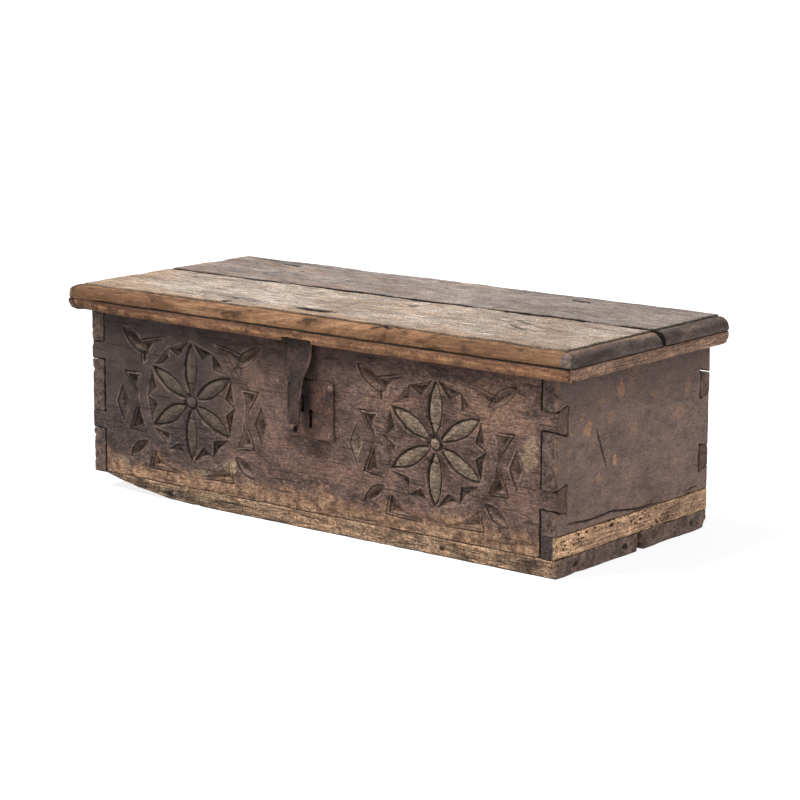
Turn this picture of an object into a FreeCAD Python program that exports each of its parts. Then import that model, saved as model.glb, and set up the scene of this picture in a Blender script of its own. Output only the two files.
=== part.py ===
import FreeCAD, Part
import math
import os
import re
import Sketcher
from FreeCAD import Placement, Rotation, Vector

# A small dovetailed coffer: two-board lid on snipe hinges, carved front, lock plate and hasp.
# Frame: millimetres, +Z up, front faces -Y, origin at the middle of the base underside.

doc = FreeCAD.newDocument("coffer_chest")
sheet = doc.addObject("Spreadsheet::Sheet", "sizes")

# Driving sizes, each set by itself: alias, value, what it is.
DRIVING = [
    ("body_width", 600, "outside width of the dovetailed body"),
    ("body_depth", 260, "outside depth of the body, front face to back face"),
    ("panel_height", 183.5, "height of the four sides above the base"),
    ("panel_thickness", 17, "thickness of the front and back boards"),
    ("side_thickness", 17.5, "thickness of the end boards"),
    ("joint_gap", 0.1, "clearance in the dovetails and between boards"),
    ("pin_low", 55.5, "middle of the lower pin above the base"),
    ("pin_high", 129.7, "middle of the upper pin above the base"),
    ("pin_face", 19.5, "height of a pin at the outer face"),
    ("pin_root", 27, "height of a pin at the inner face"),
    ("strip_height", 22, "height of the strip along the bottom of the right end"),
    ("strip_gap", 0.4, "open joint above that strip"),
    ("base_thickness", 18, "thickness of the two base planks"),
    ("base_joint", 11, "middle of the gap between the planks, behind the middle"),
    ("base_gap", 3.5, "width of that gap"),
    ("base_nail_rise", 20, "how far the base nails go into the sides"),
    ("base_nail_inset", 60, "outer base nails from the ends of the body"),
    ("base_nail_side", 62, "base nails under the ends, from the middle"),
    ("base_nail_half", 1.6, "half the side of a base nail's square shank"),
    ("base_nail_head", 3.6, "half the side of its head"),
    ("base_nail_cap", 2.2, "height of its head"),
    ("nail_tip", 0.4, "half the side of a nail's tip"),
    ("lid_seat", 0.2, "the lid rests this far above the boards"),
    ("lid_thickness", 15.5, "thickness of the lid boards"),
    ("lid_front_overhang", 12, "lid beyond the front face"),
    ("lid_end_overhang", 22, "lid beyond each end"),
    ("lid_back_inset", 3, "back edge of the lid short of the back face"),
    ("lid_joint_left", 4, "open joint between the lid boards, at the left end"),
    ("lid_joint_right", 13, "the same joint at the right end"),
    ("lid_joint_gap", 2.5, "width of that joint"),
    ("quirk_inset", 12, "sunk step of the moulded edge, from the edge"),
    ("quirk_depth", 1.6, "depth of that step"),
    ("nose_radius", 10, "rounding of the moulded edge below the step"),
    ("moulding_height", 13.3, "height of the strips under the lid edge"),
    ("moulding_gap", 0.4, "front strip clear of the front face"),
    ("cleat_gap", 0.8, "end strips clear of the end boards"),
    ("mitre_gap", 0.3, "open mitre between front strip and end strips"),
    ("lip_radius", 5, "rounding of the strips' lower outer edge"),
    ("notch_width", 41, "recess in the front strip for the hasp"),
    ("notch_wall", 2.7, "wood left in front of that recess"),
    ("notch_lip", 6.5, "height cut from the strip's lower edge at the recess"),
    ("nail_sink", 0.6, "nail heads below the surface of the wood"),
    ("strip_nail_half", 1.1, "half the side of a nail in the strips"),
    ("strip_nail_head", 2.4, "half the side of its head"),
    ("strip_nail_cap", 1.2, "height of its head"),
    ("strip_nail_bite", 8.5, "how far it goes into the lid boards"),
    ("strip_nail_back", 4, "front strip's nails from its back face"),
    ("strip_nail_end", 40, "its outer nails from the ends of the lid"),
    ("cleat_nail_end", 40, "end strips' nails from the front and back of the lid"),
    ("cleat_nail_joint", 25, "end strips' nails from the joint between the boards"),
    ("fit_gap", 0.1, "clearance of iron in wood"),
    ("wire_half", 1.25, "half the side of the hinges' square iron"),
    ("eye_play", 0.3, "play between the two eyes"),
    ("eye_stand", 0.8, "body eye clear of the back face"),
    ("pair_half", 1.35, "half the distance between the two legs of an eye"),
    ("arm_play", 0.9, "lid eye clear of each side of the body eye"),
    ("hinge_left_inset", 79, "left hinge from the left end of the body"),
    ("hinge_right_inset", 135, "right hinge from the right end of the body"),
    ("clench_inset", 27, "lid eye comes through the lid this far from the back edge"),
    ("clench_sink", 0.6, "clenched wire below the lid's surface"),
    ("clench_leg", 9, "length of a clenched end"),
    ("body_eye_slope", 55, "slope of the body eye through the back board, degrees"),
    ("eye_notch_depth", 5, "notch for the eye in the lid's back edge"),
    ("eye_notch_rise", 9.5, "height of that notch"),
    ("eye_lead", 1, "legs of the lid eye run together before they enter the wood"),
    ("hasp_shift", 6.6, "middle of the hasp, left of the middle"),
    ("hasp_stand", 5.2, "hasp pin in front of the front face"),
    ("hasp_slope", 6.3, "the hasp rests this far out from its closed place, degrees"),
    ("hasp_thickness", 2, "iron of the hasp and its leaf"),
    ("hasp_top_half", 15.5, "half the width of the hasp at its knuckles"),
    ("hasp_neck_half", 6.5, "half its width below the shoulders"),
    ("hasp_tip_half", 5.4, "half its width at the tip"),
    ("hasp_shoulder", 27, "start of the shoulders below the pin"),
    ("hasp_neck", 57, "end of the shoulders below the pin"),
    ("hasp_length", 96, "pin to the middle of the curled tip"),
    ("hasp_plate_gap", 0.6, "closed hasp in front of the lock plate"),
    ("curl_radius", 4.2, "curled tip of the hasp"),
    ("curl_bore", 1.4, "bore of that curl"),
    ("pin_radius", 1.5, "hasp pin"),
    ("pin_play", 0.08, "clearance round that pin"),
    ("knuckle_radius", 3.6, "knuckles of hasp and leaf"),
    ("leaf_knuckle", 12, "length of the leaf's knuckle"),
    ("leaf_width", 24, "width of the leaf under the lid"),
    ("leaf_reach", 30, "leaf behind the front face"),
    ("knuckle_gap", 0.3, "play between knuckles, end to end"),
    ("leaf_nail_half", 7, "leaf nails from the middle of the hasp"),
    ("leaf_nail_back", 20, "leaf nails behind the front face"),
    ("leaf_nail_side", 1.1, "half the side of a leaf nail"),
    ("leaf_nail_head", 3, "half the side of its head"),
    ("leaf_nail_cap", 1.3, "height of that head"),
    ("pin_head_radius", 2.2, "riveted ends of the hasp pin"),
    ("pin_head_height", 1, "height of those ends"),
    ("plate_shift", 4, "middle of the lock plate, right of the middle"),
    ("plate_bottom", 93.3, "lower edge of the plate above the ground"),
    ("plate_width", 60, "width of the plate"),
    ("plate_height", 58.5, "height of the plate"),
    ("plate_thickness", 1.8, "thickness of the plate"),
    ("plate_nail_x", 3.8, "plate nails from the plate's side edges"),
    ("plate_nail_z", 5.5, "plate nails from its top and bottom edges"),
    ("plate_nail_half", 1, "half the side of a plate nail"),
    ("plate_nail_head", 2.4, "half the side of its head"),
    ("plate_nail_crown", 1.2, "half the side of the head's flat top"),
    ("plate_nail_dome", 1.3, "height of that head"),
    ("plate_nail_length", 10, "plate nail in the wood"),
    ("key_shift", 4.5, "keyhole, right of the middle"),
    ("key_height", 119.5, "round of the keyhole above the ground"),
    ("key_radius", 2.7, "round of the keyhole"),
    ("key_slot_half", 1.9, "half the width of the keyhole's slot"),
    ("key_drop", 16, "bottom of the slot below the round"),
    ("bolt_rise", 7.5, "middle of the bolt above the keyhole's round"),
    ("bolt_height", 9, "height of the bolt"),
    ("bolt_thickness", 2.2, "thickness of the bolt"),
    ("bolt_length", 32, "length of the bolt"),
    ("bolt_gap", 0.3, "bolt behind the lock plate"),
    ("bolt_play", 0.2, "play of the bolt in its guides"),
    ("bolt_clear", 1.5, "drawn bolt clear of the staple"),
    ("talon_width", 5, "notch in the bolt for the key"),
    ("talon_depth", 2.5, "depth of that notch"),
    ("guide_width", 3, "width of a bolt guide"),
    ("guide_wall", 1.6, "iron of a bolt guide"),
    ("guide_start", 0.4, "first guide from the tip of the drawn bolt"),
    ("guide_spread", 16, "distance between the two guides"),
    ("spring_thickness", 0.7, "bolt spring"),
    ("spring_pad", 2.1, "thickness of its foot"),
    ("spring_start", 5, "its free end from the tip of the drawn bolt"),
    ("spring_length", 20, "length of the bolt spring"),
    ("spring_rise", 5, "height of its foot above its free end"),
    ("spring_foot", 2, "foot of the spring, riveted to the plate"),
    ("spring_play", 0.3, "spring above the bolt"),
    ("staple_wire", 3, "staple across the hasp"),
    ("staple_wall", 2.4, "legs of the staple"),
    ("staple_bar", 2, "cross bar of the staple"),
    ("staple_corner", 2, "rounding of the staple's far corners"),
    ("staple_play", 0.5, "bolt clear of the staple"),
    ("slot_play", 0.8, "staple clear of the sides of its slot"),
    ("slot_rise", 1.4, "staple clear of the ends of its slot"),
    ("mortise_margin", 2.4, "mortise clear of the drawn and shot bolt"),
    ("mortise_top", 12.5, "mortise above the middle of the bolt"),
    ("mortise_depth", 8.5, "depth of the mortise behind the lock plate"),
    ("bolt_throw", 11, "travel of the bolt"),
    ("rosette_inset", 141.8, "middle of each rosette from the end of the front"),
    ("rosette_height", 108.6, "middle of the rosettes above the ground"),
    ("rosette_radius", 61, "tips of the petals"),
    ("button_radius", 6, "roots of the petals"),
    ("petal_half", 7.6, "half the width of a petal, with its groove"),
    ("groove_width", 1.6, "groove round a petal"),
    ("groove_depth", 1.5, "depth of the carving"),
    ("vein_inset", 4.8, "inner outline of a petal, from its root and its tip"),
    ("chip_depth", 2.2, "depth of the three-cornered chips"),
    ("chip_tip", 2, "long point of a chip inside the circle of petal tips"),
    ("chip_inner", 9.5, "its inner point inside that circle"),
    ("chip_outer", 2, "its third point inside that circle"),
    ("chip_tip_turn", 26, "turn of the long point from between the petals, degrees"),
    ("chip_inner_turn", 11.5, "turn of the inner point, degrees"),
    ("chip_outer_turn", 1.5, "turn of the third point, degrees"),
    ("leaf_inner", 76, "corner leaves, inner end from the rosette's middle"),
    ("leaf_outer", 112, "corner leaves, outer end"),
    ("leaf_half", 7, "half the width of a corner leaf"),
    ("leaf_up", 30, "slope of the upper corner leaves, degrees"),
    ("leaf_down", 40, "slope of the lower corner leaves, degrees"),
    ("brow_root_x", 60, "cut over the upper leaf: inner corner, sideways from the middle"),
    ("brow_root_z", 42, "up or down from it"),
    ("brow_point_x", 32, "cut over the upper leaf: long point, sideways from the middle"),
    ("brow_point_z", 66.5, "up or down from it"),
    ("brow_side_x", 72, "cut over the upper leaf: outer corner, sideways from the middle"),
    ("brow_side_z", 57.5, "up or down from it"),
    ("cheek_root_x", 72.5, "cut under the upper leaf: inner corner, sideways from the middle"),
    ("cheek_root_z", 21.5, "up or down from it"),
    ("cheek_point_x", 77, "cut under the upper leaf: long point, sideways from the middle"),
    ("cheek_point_z", 4.5, "up or down from it"),
    ("cheek_side_x", 92, "cut under the upper leaf: outer corner, sideways from the middle"),
    ("cheek_side_z", 22, "up or down from it"),
    ("jaw_root_x", 62, "cut over the lower leaf: inner corner, sideways from the middle"),
    ("jaw_root_z", 42, "up or down from it"),
    ("jaw_point_x", 77, "cut over the lower leaf: long point, sideways from the middle"),
    ("jaw_point_z", 17, "up or down from it"),
    ("jaw_side_x", 85.5, "cut over the lower leaf: outer corner, sideways from the middle"),
    ("jaw_side_z", 41.5, "up or down from it"),
    ("chin_root_x", 54.5, "cut under the lower leaf: inner corner, sideways from the middle"),
    ("chin_root_z", 57, "up or down from it"),
    ("chin_point_x", 25, "cut under the lower leaf: long point, sideways from the middle"),
    ("chin_point_z", 71.5, "up or down from it"),
    ("chin_side_x", 53.5, "cut under the lower leaf: outer corner, sideways from the middle"),
    ("chin_side_z", 69.5, "up or down from it"),
    ("diamond_shift", 94, "diamonds at both sides: from the rosette's middle"),
    ("diamond_drop", 10, "middle of a diamond below the rosette's middle"),
    ("diamond_half", 7.5, "half its width"),
    ("diamond_rise", 19.5, "half its height"),
]

# Sizes worked out from them.
DERIVED = [
    ("half_width", "body_width / 2"),
    ("half_depth", "body_depth / 2"),
    ("inner_depth", "half_depth - panel_thickness"),
    ("inner_width", "half_width - side_thickness"),
    ("rosette_shift", "half_width - rosette_inset"),
    ("body_top", "base_thickness + panel_height"),
    ("lid_under", "body_top + lid_seat"),
    ("lid_top", "lid_under + lid_thickness"),
    ("lid_front", "-half_depth - lid_front_overhang"),
    ("lid_back", "half_depth - lid_back_inset"),
    ("lid_end", "half_width + lid_end_overhang"),
    ("strip_bottom", "lid_under - moulding_height"),
    ("strip_back", "-half_depth - moulding_gap"),
    ("cleat_inner", "half_width + cleat_gap"),
    ("eye_radius", "wire_half * (1 + sqrt(2)) + eye_play"),
    ("pair_bore", "sqrt((pair_half + wire_half) ^ 2 + wire_half ^ 2) + fit_gap"),
    ("axis_back", "half_depth + eye_stand + eye_radius + wire_half"),
    ("eye_half", "wire_half + arm_play + wire_half"),
    ("eye_neck", "eye_radius + wire_half + arm_play"),
    ("clench_run", "axis_back - lid_back + clench_inset"),
    ("clench_rise", "lid_thickness - clench_sink"),
    ("lid_eye_slope", "atan(clench_rise / clench_run)"),
    ("lid_eye_length", "sqrt(clench_run ^ 2 + clench_rise ^ 2)"),
    ("eye_shank", "(axis_back - lid_back + eye_notch_depth - eye_lead) / cos(lid_eye_slope)"),
    ("body_eye_run", "axis_back - inner_depth + wire_half + fit_gap"),
    ("body_eye_drop", "body_eye_run * tan(body_eye_slope)"),
    ("body_eye_spread", "pair_half / cos(body_eye_slope)"),
    ("body_eye_neck", "sqrt(eye_radius ^ 2 - pair_half ^ 2)"),
    ("pivot_height", "lid_under + hasp_thickness - knuckle_radius"),
    ("pivot_front", "-half_depth - hasp_stand"),
    ("hasp_inner", "hasp_stand - plate_thickness - hasp_plate_gap"),
    ("hasp_outer", "hasp_inner - hasp_thickness"),
    ("shoulder_drop", "hasp_neck - hasp_shoulder"),
    ("shoulder_step", "hasp_top_half - hasp_neck_half"),
    ("ogee_radius", "(shoulder_drop ^ 2 + shoulder_step ^ 2) / (4 * shoulder_step)"),
    ("knuckle_bore", "pin_radius + pin_play"),
    ("bolt_middle", "key_height + bolt_rise"),
    ("bolt_start", "staple_wire / 2 + bolt_clear - hasp_shift"),
    ("bolt_back", "hasp_stand + bolt_gap + bolt_thickness"),
    ("staple_reach", "bolt_back + staple_play + staple_bar"),
    ("staple_half", "bolt_height / 2 + staple_play + staple_wall"),
    ("staple_drop", "pivot_height - bolt_middle"),
    ("plate_top", "plate_bottom + plate_height"),
    ("plate_left", "plate_shift - plate_width / 2"),
    ("plate_right", "plate_shift + plate_width / 2"),
    ("mortise_left", "bolt_start - bolt_throw - mortise_margin"),
    ("mortise_right", "bolt_start + bolt_length + mortise_margin"),
    ("petal_chord", "rosette_radius - button_radius"),
    ("petal_arc", "(petal_chord ^ 2 / 4 + petal_half ^ 2) / (2 * petal_half)"),
    ("vein_chord", "petal_chord - 2 * vein_inset"),
    ("vein_half", "petal_half - groove_width"),
    ("vein_arc", "(vein_chord ^ 2 / 4 + vein_half ^ 2) / (2 * vein_half)"),
    ("leaf_chord", "leaf_outer - leaf_inner"),
    ("leaf_arc", "(leaf_chord ^ 2 / 4 + leaf_half ^ 2) / (2 * leaf_half)"),
]

PINS = ("pin_low", "pin_high")
HINGES = (("left_hinge", "hinge_left_inset - half_width"),
          ("right_hinge", "half_width - hinge_right_inset"))
BASE_NAILS = 4
STRIP_NAILS = 6
NODES = []


# ---- the sheet ----------------------------------------------------------------------------

def fill_sheet():
    """Write the driving sizes as numbers and the derived ones as formulas."""
    row = 1
    for alias, size, meaning in DRIVING:
        sheet.set("A%d" % row, str(size))
        sheet.setAlias("A%d" % row, alias)
        sheet.set("B%d" % row, meaning)
        row += 1
    for alias, formula in DERIVED:
        sheet.set("A%d" % row, "=" + formula)
        sheet.setAlias("A%d" % row, alias)
        row += 1
    doc.recompute()


ALIASES = {entry[0] for entry in DRIVING + DERIVED}


def bound(formula):
    """Put the sheet's name before every alias in a formula."""
    def full_name(match):
        word = match.group(0)
        return "sizes." + word if word in ALIASES else word
    return re.sub(r"[a-z][a-z_]*", full_name, formula)


def number(formula):
    """The present value of a formula."""
    return float(sheet.evalExpression(bound(formula)))


def bind(thing, target, formula):
    thing.setExpression(target, bound(formula))


# ---- sketches and features ------------------------------------------------------------------

def new_body(label):
    body = doc.addObject("PartDesign::Body", label + "_body")
    body.Label = label
    return body


def new_sketch(body, role, across="0", up="0", out="0"):
    """A sketch on one of the body's own planes, moved in the plane and along its normal.

    XZ_Plane shows X across and Z up, its normal points to the front (-Y).
    YZ_Plane shows Y across and Z up, its normal is +X.  XY_Plane is seen from above.
    """
    sketch = body.newObject("Sketcher::SketchObject", "sketch")
    planes = [plane for plane in body.Origin.OriginFeatures if plane.Role == role]
    sketch.AttachmentSupport = (planes[0], [""])
    sketch.MapMode = "FlatFace"
    bind(sketch, "AttachmentOffset.Base.x", across)
    bind(sketch, "AttachmentOffset.Base.y", up)
    bind(sketch, "AttachmentOffset.Base.z", out)
    return sketch


def hold(sketch, kind, geometry, point, formula):
    """Fix one coordinate of a point, measured from the sketch origin."""
    rule = Sketcher.Constraint(kind, -1, 1, geometry, point, number(formula))
    bind(sketch, "Constraints[%d]" % sketch.addConstraint(rule), formula)


def arc_between(start, end, radius, side):
    """The smaller arc from start to end, its centre to the left (1) or right (-1) of the way."""
    chord = end - start
    rise = math.sqrt(max(radius ** 2 - chord.Length ** 2 / 4, 0))
    left = Vector(-chord.y, chord.x, 0).normalize()
    centre = (start + end) / 2 + left * (side * rise)
    circle = Part.Circle(centre, Vector(0, 0, 1), radius)
    ends = (start, end) if side > 0 else (end, start)
    angles = [math.atan2(point.y - centre.y, point.x - centre.x) for point in ends]
    if angles[1] < angles[0]:
        angles[1] += 2 * math.pi
    return Part.ArcOfCircle(circle, angles[0], angles[1])


def outline(sketch, corners, closed=True):
    """Draw lines and arcs through corners, every corner held by its two coordinates.

    A corner is (u, v), or (u, v, radius, side) where an arc leaves it.
    """
    places = [Vector(number(corner[0]), number(corner[1]), 0) for corner in corners]
    first = sketch.GeometryCount
    count = len(corners) if closed else len(corners) - 1
    heads = []
    tails = []
    for index in range(count):
        corner = corners[index]
        start = places[index]
        end = places[(index + 1) % len(corners)]
        if len(corner) == 2:
            sketch.addGeometry(Part.LineSegment(start, end))
            heads.append(1)
            tails.append(2)
            continue
        edge = sketch.addGeometry(arc_between(start, end, number(corner[2]), corner[3]))
        heads.append(1 if corner[3] > 0 else 2)
        tails.append(2 if corner[3] > 0 else 1)
        rule = Sketcher.Constraint("Radius", edge, number(corner[2]))
        bind(sketch, "Constraints[%d]" % sketch.addConstraint(rule), corner[2])
    for index in range(count):
        following = (index + 1) % len(corners)
        if following < count:
            sketch.addConstraint(Sketcher.Constraint(
                "Coincident", first + index, tails[index], first + following, heads[following]))
        hold(sketch, "DistanceX", first + index, heads[index], corners[index][0])
        hold(sketch, "DistanceY", first + index, heads[index], corners[index][1])
    if not closed:
        hold(sketch, "DistanceX", first + count - 1, tails[-1], corners[-1][0])
        hold(sketch, "DistanceY", first + count - 1, tails[-1], corners[-1][1])


def rectangle(sketch, left, right, bottom, top):
    outline(sketch, [(left, bottom), (right, bottom), (right, top), (left, top)])


def circle(sketch, across, up, radius):
    place = Vector(number(across), number(up), 0)
    edge = sketch.addGeometry(Part.Circle(place, Vector(0, 0, 1), number(radius)))
    hold(sketch, "DistanceX", edge, 3, across)
    hold(sketch, "DistanceY", edge, 3, up)
    rule = Sketcher.Constraint("Radius", edge, number(radius))
    bind(sketch, "Constraints[%d]" % sketch.addConstraint(rule), radius)


def pad(body, sketch, length, centred=False, against=False):
    """Raise a sketch along its normal, to both sides of it, or against the normal."""
    feature = body.newObject("PartDesign::Pad", "pad")
    feature.Profile = sketch
    feature.SideType = "Symmetric" if centred else "One side"
    feature.Reversed = against
    bind(feature, "Length", length)
    return feature


def pocket(body, sketch, depth=None, against=False):
    """Cut a sketch into the solid below its normal, or through everything on both sides."""
    feature = body.newObject("PartDesign::Pocket", "pocket")
    feature.Profile = sketch
    feature.Reversed = against
    if depth is None:
        feature.SideType = "Symmetric"
        feature.Type = "ThroughAll"
    else:
        bind(feature, "Length", depth)
    return feature


# ---- plain solids -------------------------------------------------------------------------

def cylinder(label, radius, length, place, axis=(0, 0, 1), turn="0"):
    """A rod that starts at place; axis and turn lay it down from upright."""
    solid = doc.addObject("Part::Cylinder", label)
    bind(solid, "Radius", radius)
    bind(solid, "Height", length)
    lay(solid, place, axis, turn)
    return solid


def taper(label, start, end, length, place, axis=(0, 0, 1), turn="0"):
    """A square bar from one half width to another, along +Y until axis and turn lay it."""
    solid = doc.addObject("Part::Wedge", label)
    for name, formula in (("X", start), ("Z", start), ("X2", end), ("Z2", end)):
        bind(solid, name + "min", "-1 * (%s)" % formula)
        bind(solid, name + "max", formula)
    bind(solid, "Ymin", "0")
    bind(solid, "Ymax", length)
    lay(solid, place, axis, turn)
    return solid


def block(label, corner, size):
    """An upright box from its lowest corner."""
    solid = doc.addObject("Part::Box", label)
    for name, formula in zip(("Length", "Width", "Height"), size):
        bind(solid, name, formula)
    lay(solid, corner)
    return solid


def lay(solid, place, axis=(0, 0, 1), turn="0"):
    solid.Placement = Placement(Vector(), Rotation(Vector(*axis), number(turn)))
    for letter, formula in zip("xyz", place):
        bind(solid, "Placement.Base." + letter, formula)
    if turn != "0":
        bind(solid, "Placement.Rotation.Angle", turn)


def fused(label, solids):
    joined = doc.addObject("Part::MultiFuse", label)
    joined.Shapes = solids
    return joined


def gathered(label, solids):
    group = doc.addObject("Part::Compound", label)
    group.Links = solids
    return group


def without(label, base, tools):
    """The base with every tool cut out of it."""
    cut = doc.addObject("Part::Cut", label + "_cut")
    cut.Base = base
    cut.Tool = tools[0] if len(tools) == 1 else fused(label + "_tools", tools)
    cut.Label = label
    base.Label = label + "_blank"
    return cut


def keep(solid, label):
    """Make this solid the node of that name."""
    solid.Label = label
    NODES.append(solid)


# ---- dovetailed body ------------------------------------------------------------------------

def pin_board(label, side):
    """Front (side -1) or back (side 1) board: a core between the ends, and the pins."""
    body = new_body(label)
    outer = "%d * half_depth" % side
    inner = "%d * inner_depth" % side
    core = new_sketch(body, "YZ_Plane")
    rectangle(core, outer, inner, "base_thickness", "body_top")
    pad(body, core, "2 * (inner_width - joint_gap)", centred=True)
    pins = new_sketch(body, "YZ_Plane")
    for pin in PINS:
        middle = "base_thickness + " + pin
        outline(pins, [(outer, middle + " - pin_face / 2"), (inner, middle + " - pin_root / 2"),
                       (inner, middle + " + pin_root / 2"), (outer, middle + " + pin_face / 2")])
    pad(body, pins, "body_width", centred=True)
    return body


def tail_board(label, side, bottom):
    """End board: its tails flare towards the front and back faces."""
    body = new_body(label)
    board = new_sketch(body, "YZ_Plane", out="%d * inner_width" % side)
    front_edge = []
    for pin in PINS:
        middle = "base_thickness + " + pin
        face = "(pin_face / 2 + joint_gap)"
        root = "(pin_root / 2 + joint_gap)"
        front_edge += [("half_depth", middle + " - " + face),
                       ("(inner_depth - joint_gap)", middle + " - " + root),
                       ("(inner_depth - joint_gap)", middle + " + " + root),
                       ("half_depth", middle + " + " + face)]
    up = [("-1 * " + across, height) for across, height in front_edge]
    down = list(reversed(front_edge))
    outline(board, [("-half_depth", bottom)] + up + [("-half_depth", "body_top")]
            + [("half_depth", "body_top")] + down + [("half_depth", bottom)])
    pad(body, board, "side_thickness", against=side < 0)
    return body


def lock_mortise(panel):
    face = new_sketch(panel, "XZ_Plane", out="half_depth")
    rectangle(face, "mortise_left", "mortise_right",
              "key_height - key_drop", "bolt_middle + mortise_top")
    pocket(panel, face, "mortise_depth")


def petal(sketch, root, tip, radius):
    """A leaf between two arcs, from root to tip up the sketch's vertical axis."""
    outline(sketch, [("0", root, radius, 1), ("0", tip, radius, 1)])


def chip(sketch, hand):
    """A three-cornered cut beside the petal on one hand of the middle of a sixth."""
    corners = []
    for point in ("tip", "inner", "outer"):
        turn = "(30 + %d * chip_%s_turn)" % (hand, point)
        reach = "(rosette_radius - chip_%s)" % point
        corners.append((reach + " * sin" + turn, reach + " * cos" + turn))
    outline(sketch, corners)


def turned_pocket(panel, cut, sketch):
    """Repeat a cut six times round the sketch's own normal."""
    pattern = panel.newObject("PartDesign::PolarPattern", "pattern")
    pattern.Originals = [cut]
    pattern.Axis = (sketch, ["N_Axis"])
    pattern.Angle = 360
    pattern.Occurrences = 6
    panel.Tip = pattern


def rosette(panel, side):
    """Six petals and twelve chips; round them four leaves, eight corner cuts, two diamonds."""
    middle = "%d * rosette_shift" % side
    petals = new_sketch(panel, "XZ_Plane", middle, "rosette_height", "half_depth")
    petal(petals, "button_radius", "rosette_radius", "petal_arc")
    petal(petals, "button_radius + vein_inset", "rosette_radius - vein_inset", "vein_arc")
    turned_pocket(panel, pocket(panel, petals, "groove_depth"), petals)
    chips = new_sketch(panel, "XZ_Plane", middle, "rosette_height", "half_depth")
    for hand in (-1, 1):
        chip(chips, hand)
    turned_pocket(panel, pocket(panel, chips, "chip_depth"), chips)
    for slope in ("leaf_up", "180 - leaf_up", "-leaf_down", "180 + leaf_down"):
        leaf = new_sketch(panel, "XZ_Plane", middle, "rosette_height", "half_depth")
        outline(leaf, [
            ("leaf_inner * cos(%s)" % slope, "leaf_inner * sin(%s)" % slope, "leaf_arc", 1),
            ("leaf_outer * cos(%s)" % slope, "leaf_outer * sin(%s)" % slope, "leaf_arc", 1)])
        pocket(panel, leaf, "chip_depth")
    corners = new_sketch(panel, "XZ_Plane", middle, "rosette_height", "half_depth")
    for hand in (-1, 1):
        for cut, rise in (("brow", 1), ("cheek", 1), ("jaw", -1), ("chin", -1)):
            outline(corners, [("%d * %s_%s_x" % (hand, cut, point),
                               "%d * %s_%s_z" % (rise, cut, point))
                              for point in ("root", "point", "side")])
        across = "%d * diamond_shift" % hand
        outline(corners, [(across + " - diamond_half", "-diamond_drop"),
                          (across, "diamond_rise - diamond_drop"),
                          (across + " + diamond_half", "-diamond_drop"),
                          (across, "-diamond_rise - diamond_drop")])
    pocket(panel, corners, "groove_depth")


def side_strip():
    body = new_body("right_side_strip")
    end = new_sketch(body, "YZ_Plane", out="inner_width")
    rectangle(end, "-half_depth", "half_depth", "base_thickness",
              "base_thickness + strip_height - strip_gap")
    pad(body, end, "side_thickness")
    return body


def base_plank(label, front, back):
    body = new_body(label)
    plan = new_sketch(body, "XY_Plane")
    rectangle(plan, "-half_width", "half_width", front, back)
    pad(body, plan, "base_thickness")
    return body


# ---- nails ----------------------------------------------------------------------------------

def nail(label, kind, place, length, grow="0"):
    """A forged nail, upright, its sunk head at the bottom; with grow, the hole for it."""
    across, along, height = place
    seat = (across, along, height + " + nail_sink")
    head = kind + "_head + " + grow
    neck = kind + "_half + " + grow
    upright = ((1, 0, 0), "90")
    parts = [taper(label + "_head", head, neck, kind + "_cap", seat, *upright),
             taper(label + "_shank", neck, "nail_tip + " + grow, length + " + " + grow,
                   seat, *upright)]
    if grow != "0":
        below = (across, along, height + " - nail_sink")
        parts.append(taper(label + "_mouth", head, head, "2 * nail_sink", below, *upright))
    return fused(label, parts)


def nails(label, kind, places, length):
    """One node of equal nails."""
    return gathered(label, [nail("%s_%d" % (label, index), kind, place, length)
                            for index, place in enumerate(places)])


def nail_holes(label, kind, places, length):
    return [nail("%s_hole_%d" % (label, index), kind, place, length, "fit_gap")
            for index, place in enumerate(places)]


# ---- lid ------------------------------------------------------------------------------------

def moulded_ends(board):
    """Step and rounding across both ends of a lid board."""
    ends = new_sketch(board, "XZ_Plane")
    for side in (-1, 1):
        def across(formula):
            return "%d * (%s)" % (side, formula)
        outline(ends, [
            (across("lid_end - quirk_inset"), "lid_top - quirk_depth"),
            (across("lid_end - nose_radius"), "lid_top - quirk_depth", "nose_radius", -side),
            (across("lid_end"), "lid_top - quirk_depth - nose_radius"),
            (across("lid_end"), "lid_top + quirk_depth"),
            (across("lid_end - quirk_inset"), "lid_top + quirk_depth")])
    pocket(board, ends)


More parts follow.
